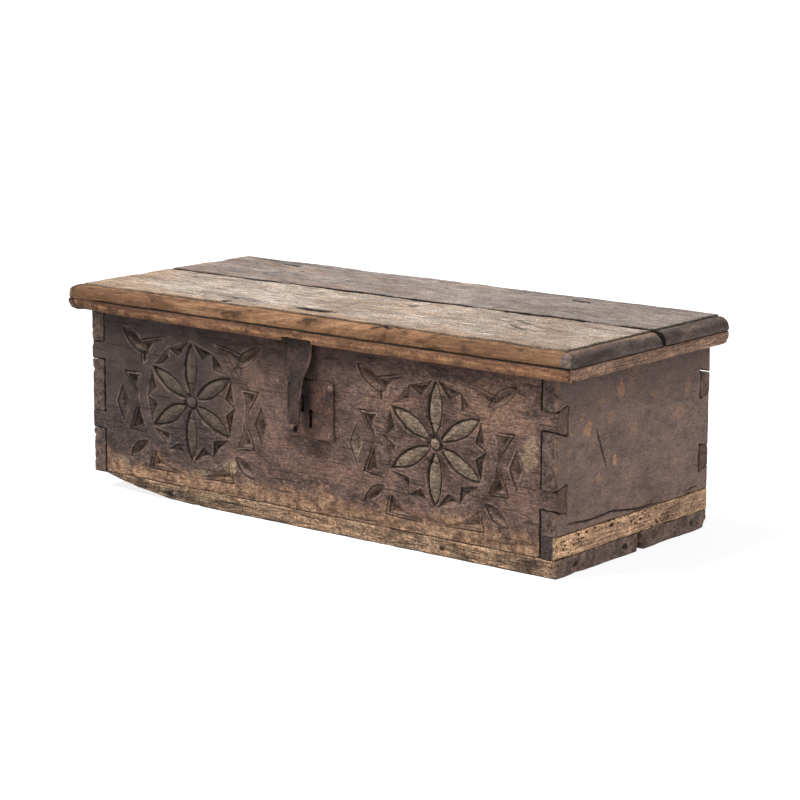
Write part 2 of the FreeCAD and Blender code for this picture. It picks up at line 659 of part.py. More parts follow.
def lid_front_board():
    body = new_body("lid_front_board")
    edge = new_sketch(body, "YZ_Plane")
    outline(edge, [
        ("lid_front", "lid_under"), ("lid_back", "lid_under"), ("lid_back", "lid_top"),
        ("lid_front + quirk_inset", "lid_top"),
        ("lid_front + quirk_inset", "lid_top - quirk_depth"),
        ("lid_front + nose_radius", "lid_top - quirk_depth", "nose_radius", 1),
        ("lid_front", "lid_top - quirk_depth - nose_radius")])
    pad(body, edge, "2 * lid_end", centred=True)
    behind = new_sketch(body, "XY_Plane")
    outline(behind, [
        ("-lid_end", "lid_joint_left - lid_joint_gap / 2"),
        ("lid_end", "lid_joint_right - lid_joint_gap / 2"),
        ("lid_end", "lid_back + lid_joint_gap"), ("-lid_end", "lid_back + lid_joint_gap")])
    pocket(body, behind)
    moulded_ends(body)
    leaf_seat = new_sketch(body, "XY_Plane", "-hasp_shift", "0", "lid_under")
    rectangle(leaf_seat, "-leaf_width / 2 - fit_gap", "leaf_width / 2 + fit_gap",
              "-half_depth", "-half_depth + leaf_reach + fit_gap")
    pocket(body, leaf_seat, "hasp_thickness + fit_gap", against=True)
    knuckle_seat = new_sketch(body, "XY_Plane", "-hasp_shift", "0", "lid_under")
    rectangle(knuckle_seat, "-notch_width / 2", "notch_width / 2",
              "lid_front + notch_wall", "-half_depth")
    pocket(body, knuckle_seat, "hasp_thickness + fit_gap + knuckle_gap", against=True)
    return body


def lid_rear_board():
    body = new_body("lid_rear_board")
    plan = new_sketch(body, "XY_Plane", out="lid_under")
    outline(plan, [
        ("-lid_end", "lid_joint_left + lid_joint_gap / 2"),
        ("lid_end", "lid_joint_right + lid_joint_gap / 2"),
        ("lid_end", "lid_back"), ("-lid_end", "lid_back")])
    pad(body, plan, "lid_thickness")
    moulded_ends(body)
    return body


def lid_front_moulding():
    """Strip under the front edge, mitred at both ends and recessed behind for the hasp."""
    body = new_body("lid_front_moulding")
    edge = new_sketch(body, "YZ_Plane")
    outline(edge, [
        ("lid_front + lip_radius", "strip_bottom"), ("strip_back", "strip_bottom"),
        ("strip_back", "lid_under"), ("lid_front", "lid_under"),
        ("lid_front", "strip_bottom + lip_radius", "lip_radius", 1)])
    pad(body, edge, "2 * lid_end", centred=True)
    mitres = new_sketch(body, "XY_Plane")
    for side in (-1, 1):
        outline(mitres, [("%d * lid_end" % side, "lid_front"),
                         ("%d * cleat_inner" % side, "strip_back"),
                         ("%d * lid_end" % side, "strip_back")])
    pocket(body, mitres)
    recess = new_sketch(body, "XY_Plane", "-hasp_shift")
    rectangle(recess, "-notch_width / 2", "notch_width / 2",
              "lid_front + notch_wall", "strip_back")
    pocket(body, recess)
    lip = new_sketch(body, "XZ_Plane", "-hasp_shift")
    rectangle(lip, "-notch_width / 2", "notch_width / 2",
              "strip_bottom - notch_lip", "strip_bottom + notch_lip")
    pocket(body, lip)
    return body


def lid_cleat(label, side):
    """Strip under one end of the lid."""
    body = new_body(label)
    plan = new_sketch(body, "XY_Plane", out="strip_bottom")
    end = "%d * lid_end" % side
    inner = "%d * cleat_inner" % side
    outline(plan, [(end, "lid_front + mitre_gap"), (inner, "strip_back + mitre_gap"),
                   (inner, "lid_back"), (end, "lid_back")])
    pad(body, plan, "moulding_height")
    lip = new_sketch(body, "XZ_Plane")
    outline(lip, [
        (end, "strip_bottom + lip_radius", "lip_radius", -side),
        ("%d * (lid_end - lip_radius)" % side, "strip_bottom"),
        ("%d * (lid_end - lip_radius)" % side, "strip_bottom - lip_radius"),
        (end, "strip_bottom - lip_radius")])
    pocket(body, lip)
    return body


def row(outer, count):
    """Places of equally spaced nails from one outer place to its mirror image."""
    return ["%d / %d * %s" % (2 * index - count + 1, count - 1, outer)
            for index in range(count)]


def strip_nail_places():
    return [(across, "strip_back - strip_nail_back", "strip_bottom")
            for across in row("(lid_end - strip_nail_end)", STRIP_NAILS)]


def cleat_nail_places(side, board):
    """Two nails through the end strip into the front or the rear lid board."""
    across = "%d * (cleat_inner + lid_end) / 2" % side
    rows = {"front": ("lid_front + cleat_nail_end", "lid_joint_left - cleat_nail_joint"),
            "rear": ("lid_joint_right + cleat_nail_joint", "lid_back - cleat_nail_end")}
    return [(across, along, "strip_bottom") for along in rows[board]]


# ---- snipe hinges ---------------------------------------------------------------------------

def lid_eye(label, across):
    """Square iron bent to a loop, its bar on the hinge axis, legs through the lid, clenched."""
    tip = "(pair_half + clench_leg)"
    corners = [
        ("-1 * " + tip, "lid_eye_length"), ("-pair_half", "lid_eye_length"),
        ("-pair_half", "eye_shank"), ("-eye_half", "eye_neck"), ("-eye_half", "0"),
        ("eye_half", "0"), ("eye_half", "eye_neck"), ("pair_half", "eye_shank"),
        ("pair_half", "lid_eye_length"), (tip, "lid_eye_length")]
    body = new_body(label)
    way = new_sketch(body, "XY_Plane")
    outline(way, corners, closed=False)
    section = new_sketch(body, "YZ_Plane", "lid_eye_length", "0", "-1 * " + tip)
    rectangle(section, "-wire_half", "wire_half", "-wire_half", "wire_half")
    doc.recompute()
    pipe = body.newObject("PartDesign::AdditivePipe", "pipe")
    pipe.Profile = section
    pipe.Spine = (way, ["Edge%d" % (index + 1) for index in range(len(corners) - 1)])
    pipe.Transition = "Right corner"
    lay(body, (across, "axis_back", "lid_under"), (1, 0, 0), "180 deg - lid_eye_slope")
    return body


def lid_eye_seat(label, across):
    """Notch, hole and groove for a lid eye."""
    reach = "(eye_half + wire_half + arm_play)"
    notch = block(label + "_notch", (across + " - " + reach, "lid_back - eye_notch_depth",
                                     "lid_under - eye_notch_rise"),
                  ("2 * " + reach, "2 * eye_notch_depth", "2 * eye_notch_rise"))
    bore = cylinder(label + "_bore", "pair_bore", "lid_eye_length",
                    (across, "axis_back", "lid_under"), (1, 0, 0), "90 deg - lid_eye_slope")
    half = "(wire_half * (cos(lid_eye_slope) + sin(lid_eye_slope)) + fit_gap)"
    return [notch, bore,
            clench_groove(label, across, "lid_back - clench_inset", half, "pair_half")]


def clench_groove(label, across, along, half, start):
    """Groove in the lid's top for two clenched ends that point apart."""
    reach = "(%s + clench_leg + fit_gap)" % start
    return block(label + "_groove", (across + " - " + reach, along + " - " + half,
                                     "lid_top - clench_sink - " + half),
                 ("2 * " + reach, "2 * " + half, "2 * " + half))


def body_eye(label, across):
    """Square iron bent to a ring about the hinge axis, legs through the back board, clenched."""
    flat = "cos(body_eye_slope)"
    steep = "sin(body_eye_slope)"
    place = ("axis_back", "lid_under", across)
    body = new_body(label)
    ring = new_sketch(body, "YZ_Plane", *place)
    circle(ring, "0", "0", "eye_radius + wire_half")
    circle(ring, "0", "0", "eye_radius - wire_half")
    pad(body, ring, "2 * wire_half", centred=True)
    legs = new_sketch(body, "YZ_Plane", *place)
    ends = new_sketch(body, "YZ_Plane", *place)
    for side in (-1, 1):
        def point(distance, offset):
            """A point down the legs from the hinge axis, and to one side of them."""
            return ("-(%s) * %s - (%s) * %s" % (distance, flat, offset, steep),
                    "-(%s) * %s + (%s) * %s" % (distance, steep, offset, flat))
        shift = "%d * pair_half" % side
        length = "(body_eye_run - %s * %s) / %s" % (shift, steep, flat)
        outline(legs, [point("body_eye_neck", shift + " + wire_half"),
                       point("body_eye_neck", shift + " - wire_half"),
                       point(length, shift + " - wire_half"),
                       point(length, shift + " + wire_half")])
        bend = "(%d * body_eye_spread - body_eye_drop)" % side
        rectangle(ends, "-body_eye_run - wire_half", "-body_eye_run + wire_half",
                  "%s - %d * wire_half" % (bend, side), "%s + %d * clench_leg" % (bend, side))
    pad(body, legs, "2 * wire_half", centred=True)
    pad(body, ends, "2 * wire_half", centred=True)
    return body


def body_eye_bore(label, across):
    return cylinder(label + "_bore", "pair_bore",
                    "(body_eye_run + panel_thickness) / cos(body_eye_slope)",
                    (across, "axis_back", "lid_under"), (1, 0, 0), "90 + body_eye_slope")


# ---- hasp -----------------------------------------------------------------------------------

def hang(body):
    """Put a body whose origin is on the hasp pin in its place, leaning out as it rests."""
    lay(body, ("-hasp_shift", "pivot_front", "pivot_height"), (-1, 0, 0), "hasp_slope")


def hasp():
    """Strap with two knuckles, shoulders drawn in by an ogee, and a curled tip."""
    body = new_body("hasp")
    width = "2 * hasp_top_half"
    bend = "-(hasp_shoulder + hasp_neck) / 2"
    strap = new_sketch(body, "YZ_Plane")
    outline(strap, [
        ("knuckle_radius - hasp_thickness", "0"),
        ("knuckle_radius - hasp_thickness", "-hasp_shoulder"), ("hasp_outer", bend),
        ("hasp_outer", "-hasp_length"), ("hasp_inner", "-hasp_length"), ("hasp_inner", bend),
        ("knuckle_radius", "-hasp_shoulder"), ("knuckle_radius", "0")])
    pad(body, strap, width, centred=True)
    barrel = new_sketch(body, "YZ_Plane")
    circle(barrel, "0", "0", "knuckle_radius")
    pad(body, barrel, width, centred=True)
    curl = new_sketch(body, "YZ_Plane")
    circle(curl, "hasp_inner - curl_radius", "-hasp_length", "curl_radius")
    pad(body, curl, width, centred=True)
    bores = new_sketch(body, "YZ_Plane")
    circle(bores, "0", "0", "knuckle_bore")
    circle(bores, "hasp_inner - curl_radius", "-hasp_length", "curl_bore")
    pocket(body, bores)
    between = new_sketch(body, "XZ_Plane")
    rectangle(between, "-leaf_knuckle / 2 - knuckle_gap", "leaf_knuckle / 2 + knuckle_gap",
              "-knuckle_radius - knuckle_gap", "2 * knuckle_radius")
    pocket(body, between)
    sides = new_sketch(body, "XZ_Plane")
    for side in (-1, 1):
        def across(formula):
            return "%d * (%s)" % (side, formula)
        below = "-hasp_length - 2 * curl_radius"
        outline(sides, [
            (across("hasp_top_half"), "-hasp_shoulder", "ogee_radius", -side),
            (across("(hasp_top_half + hasp_neck_half) / 2"), bend, "ogee_radius", side),
            (across("hasp_neck_half"), "-hasp_neck"), (across("hasp_tip_half"), "-hasp_length"),
            (across("hasp_tip_half"), below), (across("hasp_top_half + curl_radius"), below),
            (across("hasp_top_half + curl_radius"), "-hasp_shoulder")])
    pocket(body, sides)
    rivets = new_sketch(body, "XZ_Plane", "0", "-staple_drop")
    for side in (-1, 1):
        rectangle(rivets, "-staple_wire / 2 - fit_gap", "staple_wire / 2 + fit_gap",
                  "%d * (staple_half + fit_gap)" % side,
                  "%d * (staple_half - staple_wall - fit_gap)" % side)
    pocket(body, rivets)
    hang(body)
    return body


def hasp_staple():
    """Loop on the back of the hasp that the bolt enters; its legs are riveted in the strap."""
    body = new_body("hasp_staple")
    loop = new_sketch(body, "YZ_Plane", "0", "-staple_drop")
    inside = "staple_reach - staple_bar"
    outline(loop, [
        ("hasp_outer", "-staple_half"),
        ("staple_reach - staple_corner", "-staple_half", "staple_corner", 1),
        ("staple_reach", "-staple_half + staple_corner"),
        ("staple_reach", "staple_half - staple_corner", "staple_corner", 1),
        ("staple_reach - staple_corner", "staple_half"), ("hasp_outer", "staple_half"),
        ("hasp_outer", "staple_half - staple_wall"), (inside, "staple_half - staple_wall"),
        (inside, "-staple_half + staple_wall"), ("hasp_outer", "-staple_half + staple_wall")])
    pad(body, loop, "staple_wire", centred=True)
    hang(body)
    return body


def hasp_leaf():
    """Plate let into the underside of the lid, its knuckle round the hasp pin."""
    body = new_body("hasp_leaf")
    plate_front = "pivot_front + knuckle_radius + knuckle_gap"
    plate = new_sketch(body, "YZ_Plane", out="-hasp_shift")
    rectangle(plate, plate_front, "-half_depth + leaf_reach",
              "lid_under", "lid_under + hasp_thickness")
    pad(body, plate, "leaf_width", centred=True)
    tongue = new_sketch(body, "YZ_Plane", out="-hasp_shift")
    rectangle(tongue, "pivot_front", plate_front, "lid_under", "lid_under + hasp_thickness")
    pad(body, tongue, "leaf_knuckle", centred=True)
    barrel = new_sketch(body, "YZ_Plane", out="-hasp_shift")
    circle(barrel, "pivot_front", "pivot_height", "knuckle_radius")
    pad(body, barrel, "leaf_knuckle", centred=True)
    bore = new_sketch(body, "YZ_Plane")
    circle(bore, "pivot_front", "pivot_height", "knuckle_bore")
    pocket(body, bore)
    holes = new_sketch(body, "XY_Plane", "-hasp_shift")
    for side in (-1, 1):
        middle = "%d * leaf_nail_half" % side
        rectangle(holes, middle + " - leaf_nail_side - fit_gap",
                  middle + " + leaf_nail_side + fit_gap",
                  "-half_depth + leaf_nail_back - leaf_nail_side - fit_gap",
                  "-half_depth + leaf_nail_back + leaf_nail_side + fit_gap")
    pocket(body, holes)
    return body


def hasp_pin():
    """Pin through the knuckles, riveted over at both ends."""
    start = "-hasp_shift - hasp_top_half - knuckle_gap"
    axis = ("pivot_front", "pivot_height")
    rod = cylinder("hasp_pin_rod", "pin_radius", "2 * (hasp_top_half + knuckle_gap)",
                   (start,) + axis, (0, 1, 0), "90")
    left = cylinder("hasp_pin_left", "pin_head_radius", "pin_head_height",
                    (start + " - pin_head_height",) + axis, (0, 1, 0), "90")
    right = cylinder("hasp_pin_right", "pin_head_radius", "pin_head_height",
                     ("-hasp_shift + hasp_top_half + knuckle_gap",) + axis, (0, 1, 0), "90")
    return fused("hasp_pin", [rod, left, right])


def leaf_nail(label, side):
    """A nail up through leaf and lid, its end clenched outwards on top."""
    across = "(%d * leaf_nail_half - hasp_shift)" % side
    along = "-half_depth + leaf_nail_back"
    upright = ((1, 0, 0), "90")
    head = taper(label + "_head", "leaf_nail_side", "leaf_nail_head", "leaf_nail_cap",
                 (across, along, "lid_under - leaf_nail_cap"), *upright)
    shank = taper(label + "_shank", "leaf_nail_side", "leaf_nail_side",
                  "lid_thickness - clench_sink + leaf_nail_side",
                  (across, along, "lid_under"), *upright)
    end = taper(label + "_end", "leaf_nail_side", "nail_tip", "clench_leg",
                (across, along, "lid_top - clench_sink"), (0, 0, 1), "%d * -90" % side)
    return fused(label, [head, shank, end])


def leaf_nail_seats():
    """Holes and groove for the leaf nails in the front lid board."""
    along = "-half_depth + leaf_nail_back"
    half = "(leaf_nail_side + fit_gap)"
    seats = [clench_groove("leaf_nails", "-hasp_shift", along, half, "leaf_nail_half")]
    for name, side in (("left", -1), ("right", 1)):
        corner = ("%d * leaf_nail_half - hasp_shift - %s" % (side, half),
                  along + " - " + half, "lid_under")
        seats.append(block("leaf_nail_%s_bore" % name, corner,
                           ("2 * " + half, "2 * " + half, "lid_thickness")))
    return seats


# ---- lock -----------------------------------------------------------------------------------

def lock_plate():
    body = new_body("lock_plate")
    face = new_sketch(body, "XZ_Plane", out="half_depth")
    rectangle(face, "plate_left", "plate_right", "plate_bottom", "plate_top")
    pad(body, face, "plate_thickness")
    round_hole = new_sketch(body, "XZ_Plane")
    circle(round_hole, "key_shift", "key_height", "key_radius")
    pocket(body, round_hole)
    slot = new_sketch(body, "XZ_Plane")
    rectangle(slot, "key_shift - key_slot_half", "key_shift + key_slot_half",
              "key_height - key_drop", "key_height")
    pocket(body, slot)
    staple_slot = new_sketch(body, "XZ_Plane", "-hasp_shift", "bolt_middle")
    rectangle(staple_slot, "-staple_wire / 2 - slot_play", "staple_wire / 2 + slot_play",
              "-staple_half - slot_rise", "staple_half + slot_rise")
    pocket(body, staple_slot)
    holes = new_sketch(body, "XZ_Plane")
    for across, height in plate_nail_places():
        rectangle(holes, across + " - plate_nail_half - fit_gap",
                  across + " + plate_nail_half + fit_gap",
                  height + " - plate_nail_half - fit_gap",
                  height + " + plate_nail_half + fit_gap")
    pocket(body, holes)
    return body


def plate_nail_places():
    return [(across, height) for across in ("plate_left + plate_nail_x",
                                            "plate_right - plate_nail_x")
            for height in ("plate_bottom + plate_nail_z", "plate_top - plate_nail_z")]


def plate_nails():
    pieces = []
    face = "-half_depth - plate_thickness"
    for index, (across, height) in enumerate(plate_nail_places()):
        label = "plate_nail_%d" % index
        head = taper(label + "_head", "plate_nail_crown", "plate_nail_head",
                     "plate_nail_dome", (across, face + " - plate_nail_dome", height))
        neck = taper(label + "_neck", "plate_nail_half", "plate_nail_half",
                     "plate_thickness", (across, face, height))
        shank = taper(label + "_shank", "plate_nail_half", "nail_tip", "plate_nail_length",
                      (across, "-half_depth", height))
        pieces.append(fused(label, [head, neck, shank]))
    return gathered("lock_plate_nails", pieces)


def plate_nail_holes():
    return [taper("plate_nail_hole_%d" % index, "plate_nail_half + fit_gap",
                  "nail_tip + fit_gap", "plate_nail_length + fit_gap",
                  (across, "-half_depth", height))
            for index, (across, height) in enumerate(plate_nail_places())]


def lock_bolt():
    """Flat bolt that slides to the left through the staple, notched below for the key."""
    body = new_body("lock_bolt")
    bar = new_sketch(body, "XZ_Plane", "bolt_start", "bolt_middle", "half_depth - bolt_gap")
    rectangle(bar, "0", "bolt_length", "-bolt_height / 2", "bolt_height / 2")
    pad(body, bar, "bolt_thickness", against=True)
    talon = new_sketch(body, "XZ_Plane", "key_shift", "bolt_middle")
    rectangle(talon, "-talon_width / 2", "talon_width / 2",
              "-bolt_height", "-bolt_height / 2 + talon_depth")
    pocket(body, talon)
    return body


def bolt_guide(label, start):
    """Iron bridge over the bolt, riveted to the back of the plate."""
    body = new_body(label)
    bridge = new_sketch(body, "YZ_Plane", "-half_depth", "bolt_middle", start)
    depth = "bolt_gap + bolt_thickness + bolt_play"
    half = "(bolt_height / 2 + bolt_play)"
    outline(bridge, [
        ("0", half), (depth, half), (depth, "-1 * " + half), ("0", "-1 * " + half),
        ("0", "-1 * %s - guide_wall" % half), (depth + " + guide_wall",
                                              "-1 * %s - guide_wall" % half),
        (depth + " + guide_wall", half + " + guide_wall"), ("0", half + " + guide_wall")])
    pad(body, bridge, "guide_width")
    return body


def bolt_spring():
    """Leaf that presses on the bolt, its foot riveted to the back of the plate."""
    body = new_body("bolt_spring")
    leaf = new_sketch(body, "XZ_Plane", "bolt_start + spring_start",
                      "bolt_middle + bolt_height / 2 + spring_play", "half_depth")
    outline(leaf, [
        ("0", "0"), ("spring_length", "spring_rise"),
        ("spring_length + spring_foot", "spring_rise"),
        ("spring_length + spring_foot", "spring_rise + spring_pad"),
        ("spring_length", "spring_rise + spring_pad"),
        ("spring_length - spring_foot", "spring_rise + spring_thickness"),
        ("0", "spring_thickness")])
    pad(body, leaf, "bolt_gap + bolt_thickness", against=True)
    return body


# ---- assembly -------------------------------------------------------------------------------

def make_base():
    """Two planks under the body and the nails that hold them."""
    outer = "(half_width - base_nail_inset)"
    end = "(half_width - side_thickness / 2)"
    middle = "(half_depth - panel_thickness / 2)"
    places = {}
    for board, side in (("front_panel", -1), ("back_panel", 1)):
        along = "%d * %s" % (side, middle)
        places[board] = [(across, along, "0") for across in row(outer, BASE_NAILS)]
    for board, side in (("left_side_board", -1), ("right_side_strip", 1)):
        across = "%d * %s" % (side, end)
        places[board] = [(across, along, "0") for along in row("base_nail_side", 2)]
    every = sum(places.values(), [])
    rise = "(base_thickness - nail_sink + base_nail_rise)"
    keep(nails("base_nails", "base_nail", every, rise), "base_nails")
    front = places["front_panel"] + [places["left_side_board"][0],
                                     places["right_side_strip"][0]]
    rear = places["back_panel"] + [places["left_side_board"][1],
                                   places["right_side_strip"][1]]
    for label, chosen, start, end_line in (
            ("base_front_plank", front, "-half_depth", "base_joint - base_gap / 2"),
            ("base_rear_plank", rear, "base_joint + base_gap / 2", "half_depth")):
        plank = base_plank(label, start, end_line)
        holes = nail_holes(label, "base_nail", chosen, rise)
        keep(without(label, plank, holes), label)
    return {board: nail_holes(board, "base_nail", chosen, rise)
            for board, chosen in places.items()}


def make_body(holes):
    """Front, back and ends, with their nail and hinge holes."""
    front = pin_board("front_panel", -1)
    lock_mortise(front)
    for side in (-1, 1):
        rosette(front, side)
    keep(without("front_panel", front, holes["front_panel"] + plate_nail_holes()),
         "front_panel")
    back = pin_board("back_panel", 1)
    bores = [body_eye_bore(label, across) for label, across in HINGES]
    keep(without("back_panel", back, holes["back_panel"] + bores), "back_panel")
    left = tail_board("left_side_board", -1, "base_thickness")
    keep(without("left_side_board", left, holes["left_side_board"]), "left_side_board")
    keep(tail_board("right_side_board", 1, "base_thickness + strip_height"),
         "right_side_board")
    keep(without("right_side_strip", side_strip(), holes["right_side_strip"]),
         "right_side_strip")


def make_lid():
    """Two boards, front strip and end strips, with their nails."""
    front_places = strip_nail_places()
    rise = "(moulding_height - nail_sink + strip_nail_bite)"
    keep(nails("moulding_nails", "strip_nail", front_places, rise), "moulding_nails")
    moulding_holes = nail_holes("moulding", "strip_nail", front_places, rise)
    keep(without("lid_front_moulding", lid_front_moulding(), moulding_holes),
         "lid_front_moulding")
    into = {"front": nail_holes("front_board", "strip_nail", front_places, rise), "rear": []}
    cleat_places = []
    for name, side in (("left", -1), ("right", 1)):
        places = {board: cleat_nail_places(side, board) for board in into}
        cleat_places += places["front"] + places["rear"]
        label = "lid_%s_cleat" % name
        holes = nail_holes(label, "strip_nail", places["front"] + places["rear"], rise)
        keep(without(label, lid_cleat(label, side), holes), label)
        for board in into:
            into[board] += nail_holes("%s_%s" % (label, board), "strip_nail",
                                      places[board], rise)
    keep(nails("cleat_nails", "strip_nail", cleat_places, rise), "cleat_nails")
    keep(without("lid_front_board", lid_front_board(), into["front"] + leaf_nail_seats()),
         "lid_front_board")
    seats = sum([lid_eye_seat(label, across) for label, across in HINGES], [])
    keep(without("lid_rear_board", lid_rear_board(), into["rear"] + seats),
         "lid_rear_board")


def make_hinges():
    for label, across in HINGES:
        keep(body_eye(label + "_body_eye", across), label + "_body_eye")
        keep(lid_eye(label + "_lid_eye", across), label + "_lid_eye")


def make_hasp():
    keep(hasp(), "hasp")
    keep(hasp_staple(), "hasp_staple")
    keep(hasp_leaf(), "hasp_leaf")
    keep(hasp_pin(), "hasp_pin")
    nails_of_leaf = [leaf_nail("leaf_nail_%s" % name, side)
                     for name, side in (("left", -1), ("right", 1))]
    keep(gathered("hasp_leaf_nails", nails_of_leaf), "hasp_leaf_nails")


def make_lock():
    keep(lock_plate(), "lock_plate")
    keep(plate_nails(), "lock_plate_nails")
    keep(lock_bolt(), "lock_bolt")
    first = "bolt_start + guide_start"
    guides = [bolt_guide("left_guide", first),
              bolt_guide("right_guide", first + " + guide_spread")]
    keep(gathered("bolt_guides", guides), "bolt_guides")
    keep(bolt_spring(), "bolt_spring")


def check_document():
    """Stop at a failed object, a cut that took nothing away, or a broken solid."""
    for thing in doc.Objects:
        if "Invalid" in thing.State or "Error" in thing.State:
            raise RuntimeError("%s (%s) failed: %s" % (thing.Name, thing.Label, thing.State))
        if thing.TypeId == "PartDesign::Pocket":
            if thing.Shape.Volume > thing.BaseFeature.Shape.Volume - 0.01:
                raise RuntimeError("%s in %s cuts nothing" % (thing.Name, thing.getParent().Label))
    for node in NODES:
        if node.Shape.isNull() or not node.Shape.isValid() or not node.Shape.Solids:
            raise RuntimeError("%s has no valid solid" % node.Label)


def export_nodes():
    os.makedirs("parts", exist_ok=True)
    for node in NODES:
        node.Shape.exportStep(os.path.join("parts", node.Label + ".step"))


fill_sheet()
make_body(make_base())
make_lid()
make_hinges()
make_hasp()
make_lock()
doc.recompute()
check_document()
export_nodes()
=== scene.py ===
import math

import bpy
import numpy as np
from mathutils import Matrix, Vector


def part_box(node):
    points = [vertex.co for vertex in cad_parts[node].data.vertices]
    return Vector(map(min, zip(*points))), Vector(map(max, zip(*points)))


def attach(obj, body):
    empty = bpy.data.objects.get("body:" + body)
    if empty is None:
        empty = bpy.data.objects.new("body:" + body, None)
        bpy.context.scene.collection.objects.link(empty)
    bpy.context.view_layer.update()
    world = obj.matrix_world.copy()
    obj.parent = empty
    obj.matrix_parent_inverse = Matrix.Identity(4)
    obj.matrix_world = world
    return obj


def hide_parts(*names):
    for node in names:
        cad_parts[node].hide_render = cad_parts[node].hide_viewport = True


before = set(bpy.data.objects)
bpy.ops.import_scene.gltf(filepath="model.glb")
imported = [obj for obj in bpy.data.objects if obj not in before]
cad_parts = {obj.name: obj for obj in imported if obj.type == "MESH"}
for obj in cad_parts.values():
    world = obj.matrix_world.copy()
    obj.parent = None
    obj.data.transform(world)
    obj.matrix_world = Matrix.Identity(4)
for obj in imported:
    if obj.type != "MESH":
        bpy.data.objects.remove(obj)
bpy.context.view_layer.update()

# An old dovetailed coffer with a carved front. Metres, +Z up, the front faces -Y.

MM = 0.001
FAR = 1.0       # beyond every board
LONG = 1000     # a wave of noise so long, in millimetres, that nothing changes along it

# Boards, read from the frame.
PANEL_LOW, PANEL_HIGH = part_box("front_panel")
SIDE_LOW, SIDE_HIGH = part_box("right_side_board")
LID_LOW, LID_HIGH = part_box("lid_front_board")
REAR_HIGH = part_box("lid_rear_board")[1]
FRONT = PANEL_LOW.y
PANEL = PANEL_HIGH.y - PANEL_LOW.y
INNER = SIDE_LOW.x

# Dovetails: the pins are on the front and back boards.
PIN_HEIGHTS = (73.5 * MM, 147.7 * MM)
PIN_FACE = 19.5 * MM
PIN_ROOT = 27 * MM
PIN_PLAY = 0.4 * MM
TAIL_PLAY = 0.3 * MM
PINS = [(height - PIN_FACE / 2, height + PIN_FACE / 2) for height in PIN_HEIGHTS]
PIN_EDGES = [edge for pin in PINS for edge in pin]
SIDE_TOE = (-127.5 * MM, -129.2 * MM)   # where the side boards' own ends show at the front

# The hole behind the lock plate: its sides in x and z, and its depth.
PLATE_HOLE = (-17 * MM, 30.8 * MM, 103.5 * MM, 139.5 * MM)
MORTISE = 8.5 * MM

# Lid: the moulded edge, the joint between its boards, and the notch for the hasp.
QUIRK = 12 * MM
QUIRK_STEP = 1.6 * MM
NOSE = 10 * MM
JOINT_LEFT = 4 * MM
JOINT_RIGHT = 13 * MM
JOINT_GAP = 2.5 * MM
NOTCH = (-26.5 * MM, 14.5 * MM)
NOTCH_WALL = 2.7 * MM
NOTCH_LIP = 3.1 * MM
NOTCH_BACK = 6.9 * MM

# Hasp and lock.
PIVOT = Vector((-6.6, -135.2, 200.1)) * MM
HASP_LEAN = math.radians(6.3)
KEYHOLE = Vector((4.5, 0, 119.5)) * MM


# ---- noise and curves ---------------------------------------------------------------------

def noise(points, size, seed=0, octaves=1):
    """Smooth noise from about -1 to 1; size is its waves' length, or x, y and z, in mm."""
    rng = np.random.default_rng(seed)
    order = rng.permutation(256)
    slopes = rng.normal(size=(256, 3))
    slopes /= np.linalg.norm(slopes, axis=1)[:, None]
    total = np.zeros(len(points))
    scale = np.broadcast_to(np.asarray(size, float) * MM, 3)
    for octave in range(octaves):
        place = points / scale * 2 ** octave + 17.3 * octave
        cell = np.floor(place).astype(int)
        part = place - cell
        ease = part ** 3 * (part * (part * 6 - 15) + 10)
        value = np.zeros(len(points))
        for corner in np.ndindex(2, 2, 2):
            spot = (cell + corner) & 255
            key = order[(order[(order[spot[:, 0]] + spot[:, 1]) & 255] + spot[:, 2]) & 255]
            weight = np.prod(np.where(corner, ease, 1 - ease), axis=1)
            value += weight * np.einsum("ij,ij->i", slopes[key], part - corner)
        total += value * 1.6 / 2 ** octave
    return total


def smooth(value, low, high):
    """0 below low, 1 above high, with soft ends."""
    share = np.clip((value - low) / (high - low), 0, 1)
    return share * share * (3 - 2 * share)


def patches(points, size, seed, octaves, low, high):
    """Soft patches: 0 where the noise is below low, 1 where it is above high."""
    return smooth(noise(points, size, seed, octaves), low, high)


def joined(x, y, z):
    """Points from their coordinates, which are arrays or single numbers."""
    return np.stack(np.broadcast_arrays(x, y, z), axis=1)


def rounding(edge, radius):
    """How far a face sinks at a distance from its edge, for a rounded edge."""
    rest = radius - np.minimum(edge, radius)
    return radius - np.sqrt(np.maximum(radius ** 2 - rest ** 2, 0))


def groove(distance, half, depth):
    """A V-shaped cut along a line."""
    return depth * np.maximum(0, 1 - distance / half)


def within(u, v, low_u, high_u, low_v, high_v):
    """Distance from a rectangle's edge, positive inside it."""
    return np.minimum(np.minimum(u - low_u, high_u - u), np.minimum(v - low_v, high_v - v))


def outside(u, v, low_u, high_u, low_v, high_v):
    """Distance from a rectangle, zero inside it."""
    du = np.maximum(np.maximum(low_u - u, u - high_u), 0)
    dv = np.maximum(np.maximum(low_v - v, v - high_v), 0)
    return np.hypot(du, dv)


def along(u, v, start, end):
    """Distance from the stretch between two points, and the share of it that lies behind."""
    du, dv = end[0] - start[0], end[1] - start[1]
    share = np.clip(((u - start[0]) * du + (v - start[1]) * dv) / (du * du + dv * dv), 0, 1)
    return np.hypot(u - start[0] - share * du, v - start[1] - share * dv), share


def cut(u, v, stops, half, depth):
    """A V-shaped cut along a line of stops, running out at both ends."""
    sunk = np.zeros_like(u)
    for number, (start, end) in enumerate(zip(stops, stops[1:])):
        distance, share = along(u, v, start, end)
        taper = np.ones_like(u)
        if number == 0:
            taper = np.minimum(taper, 0.25 + 1.5 * share)
        if number == len(stops) - 2:
            taper = np.minimum(taper, 0.25 + 1.5 * (1 - share))
        sunk = np.maximum(sunk, taper * groove(distance, half * taper, depth))
    return sunk


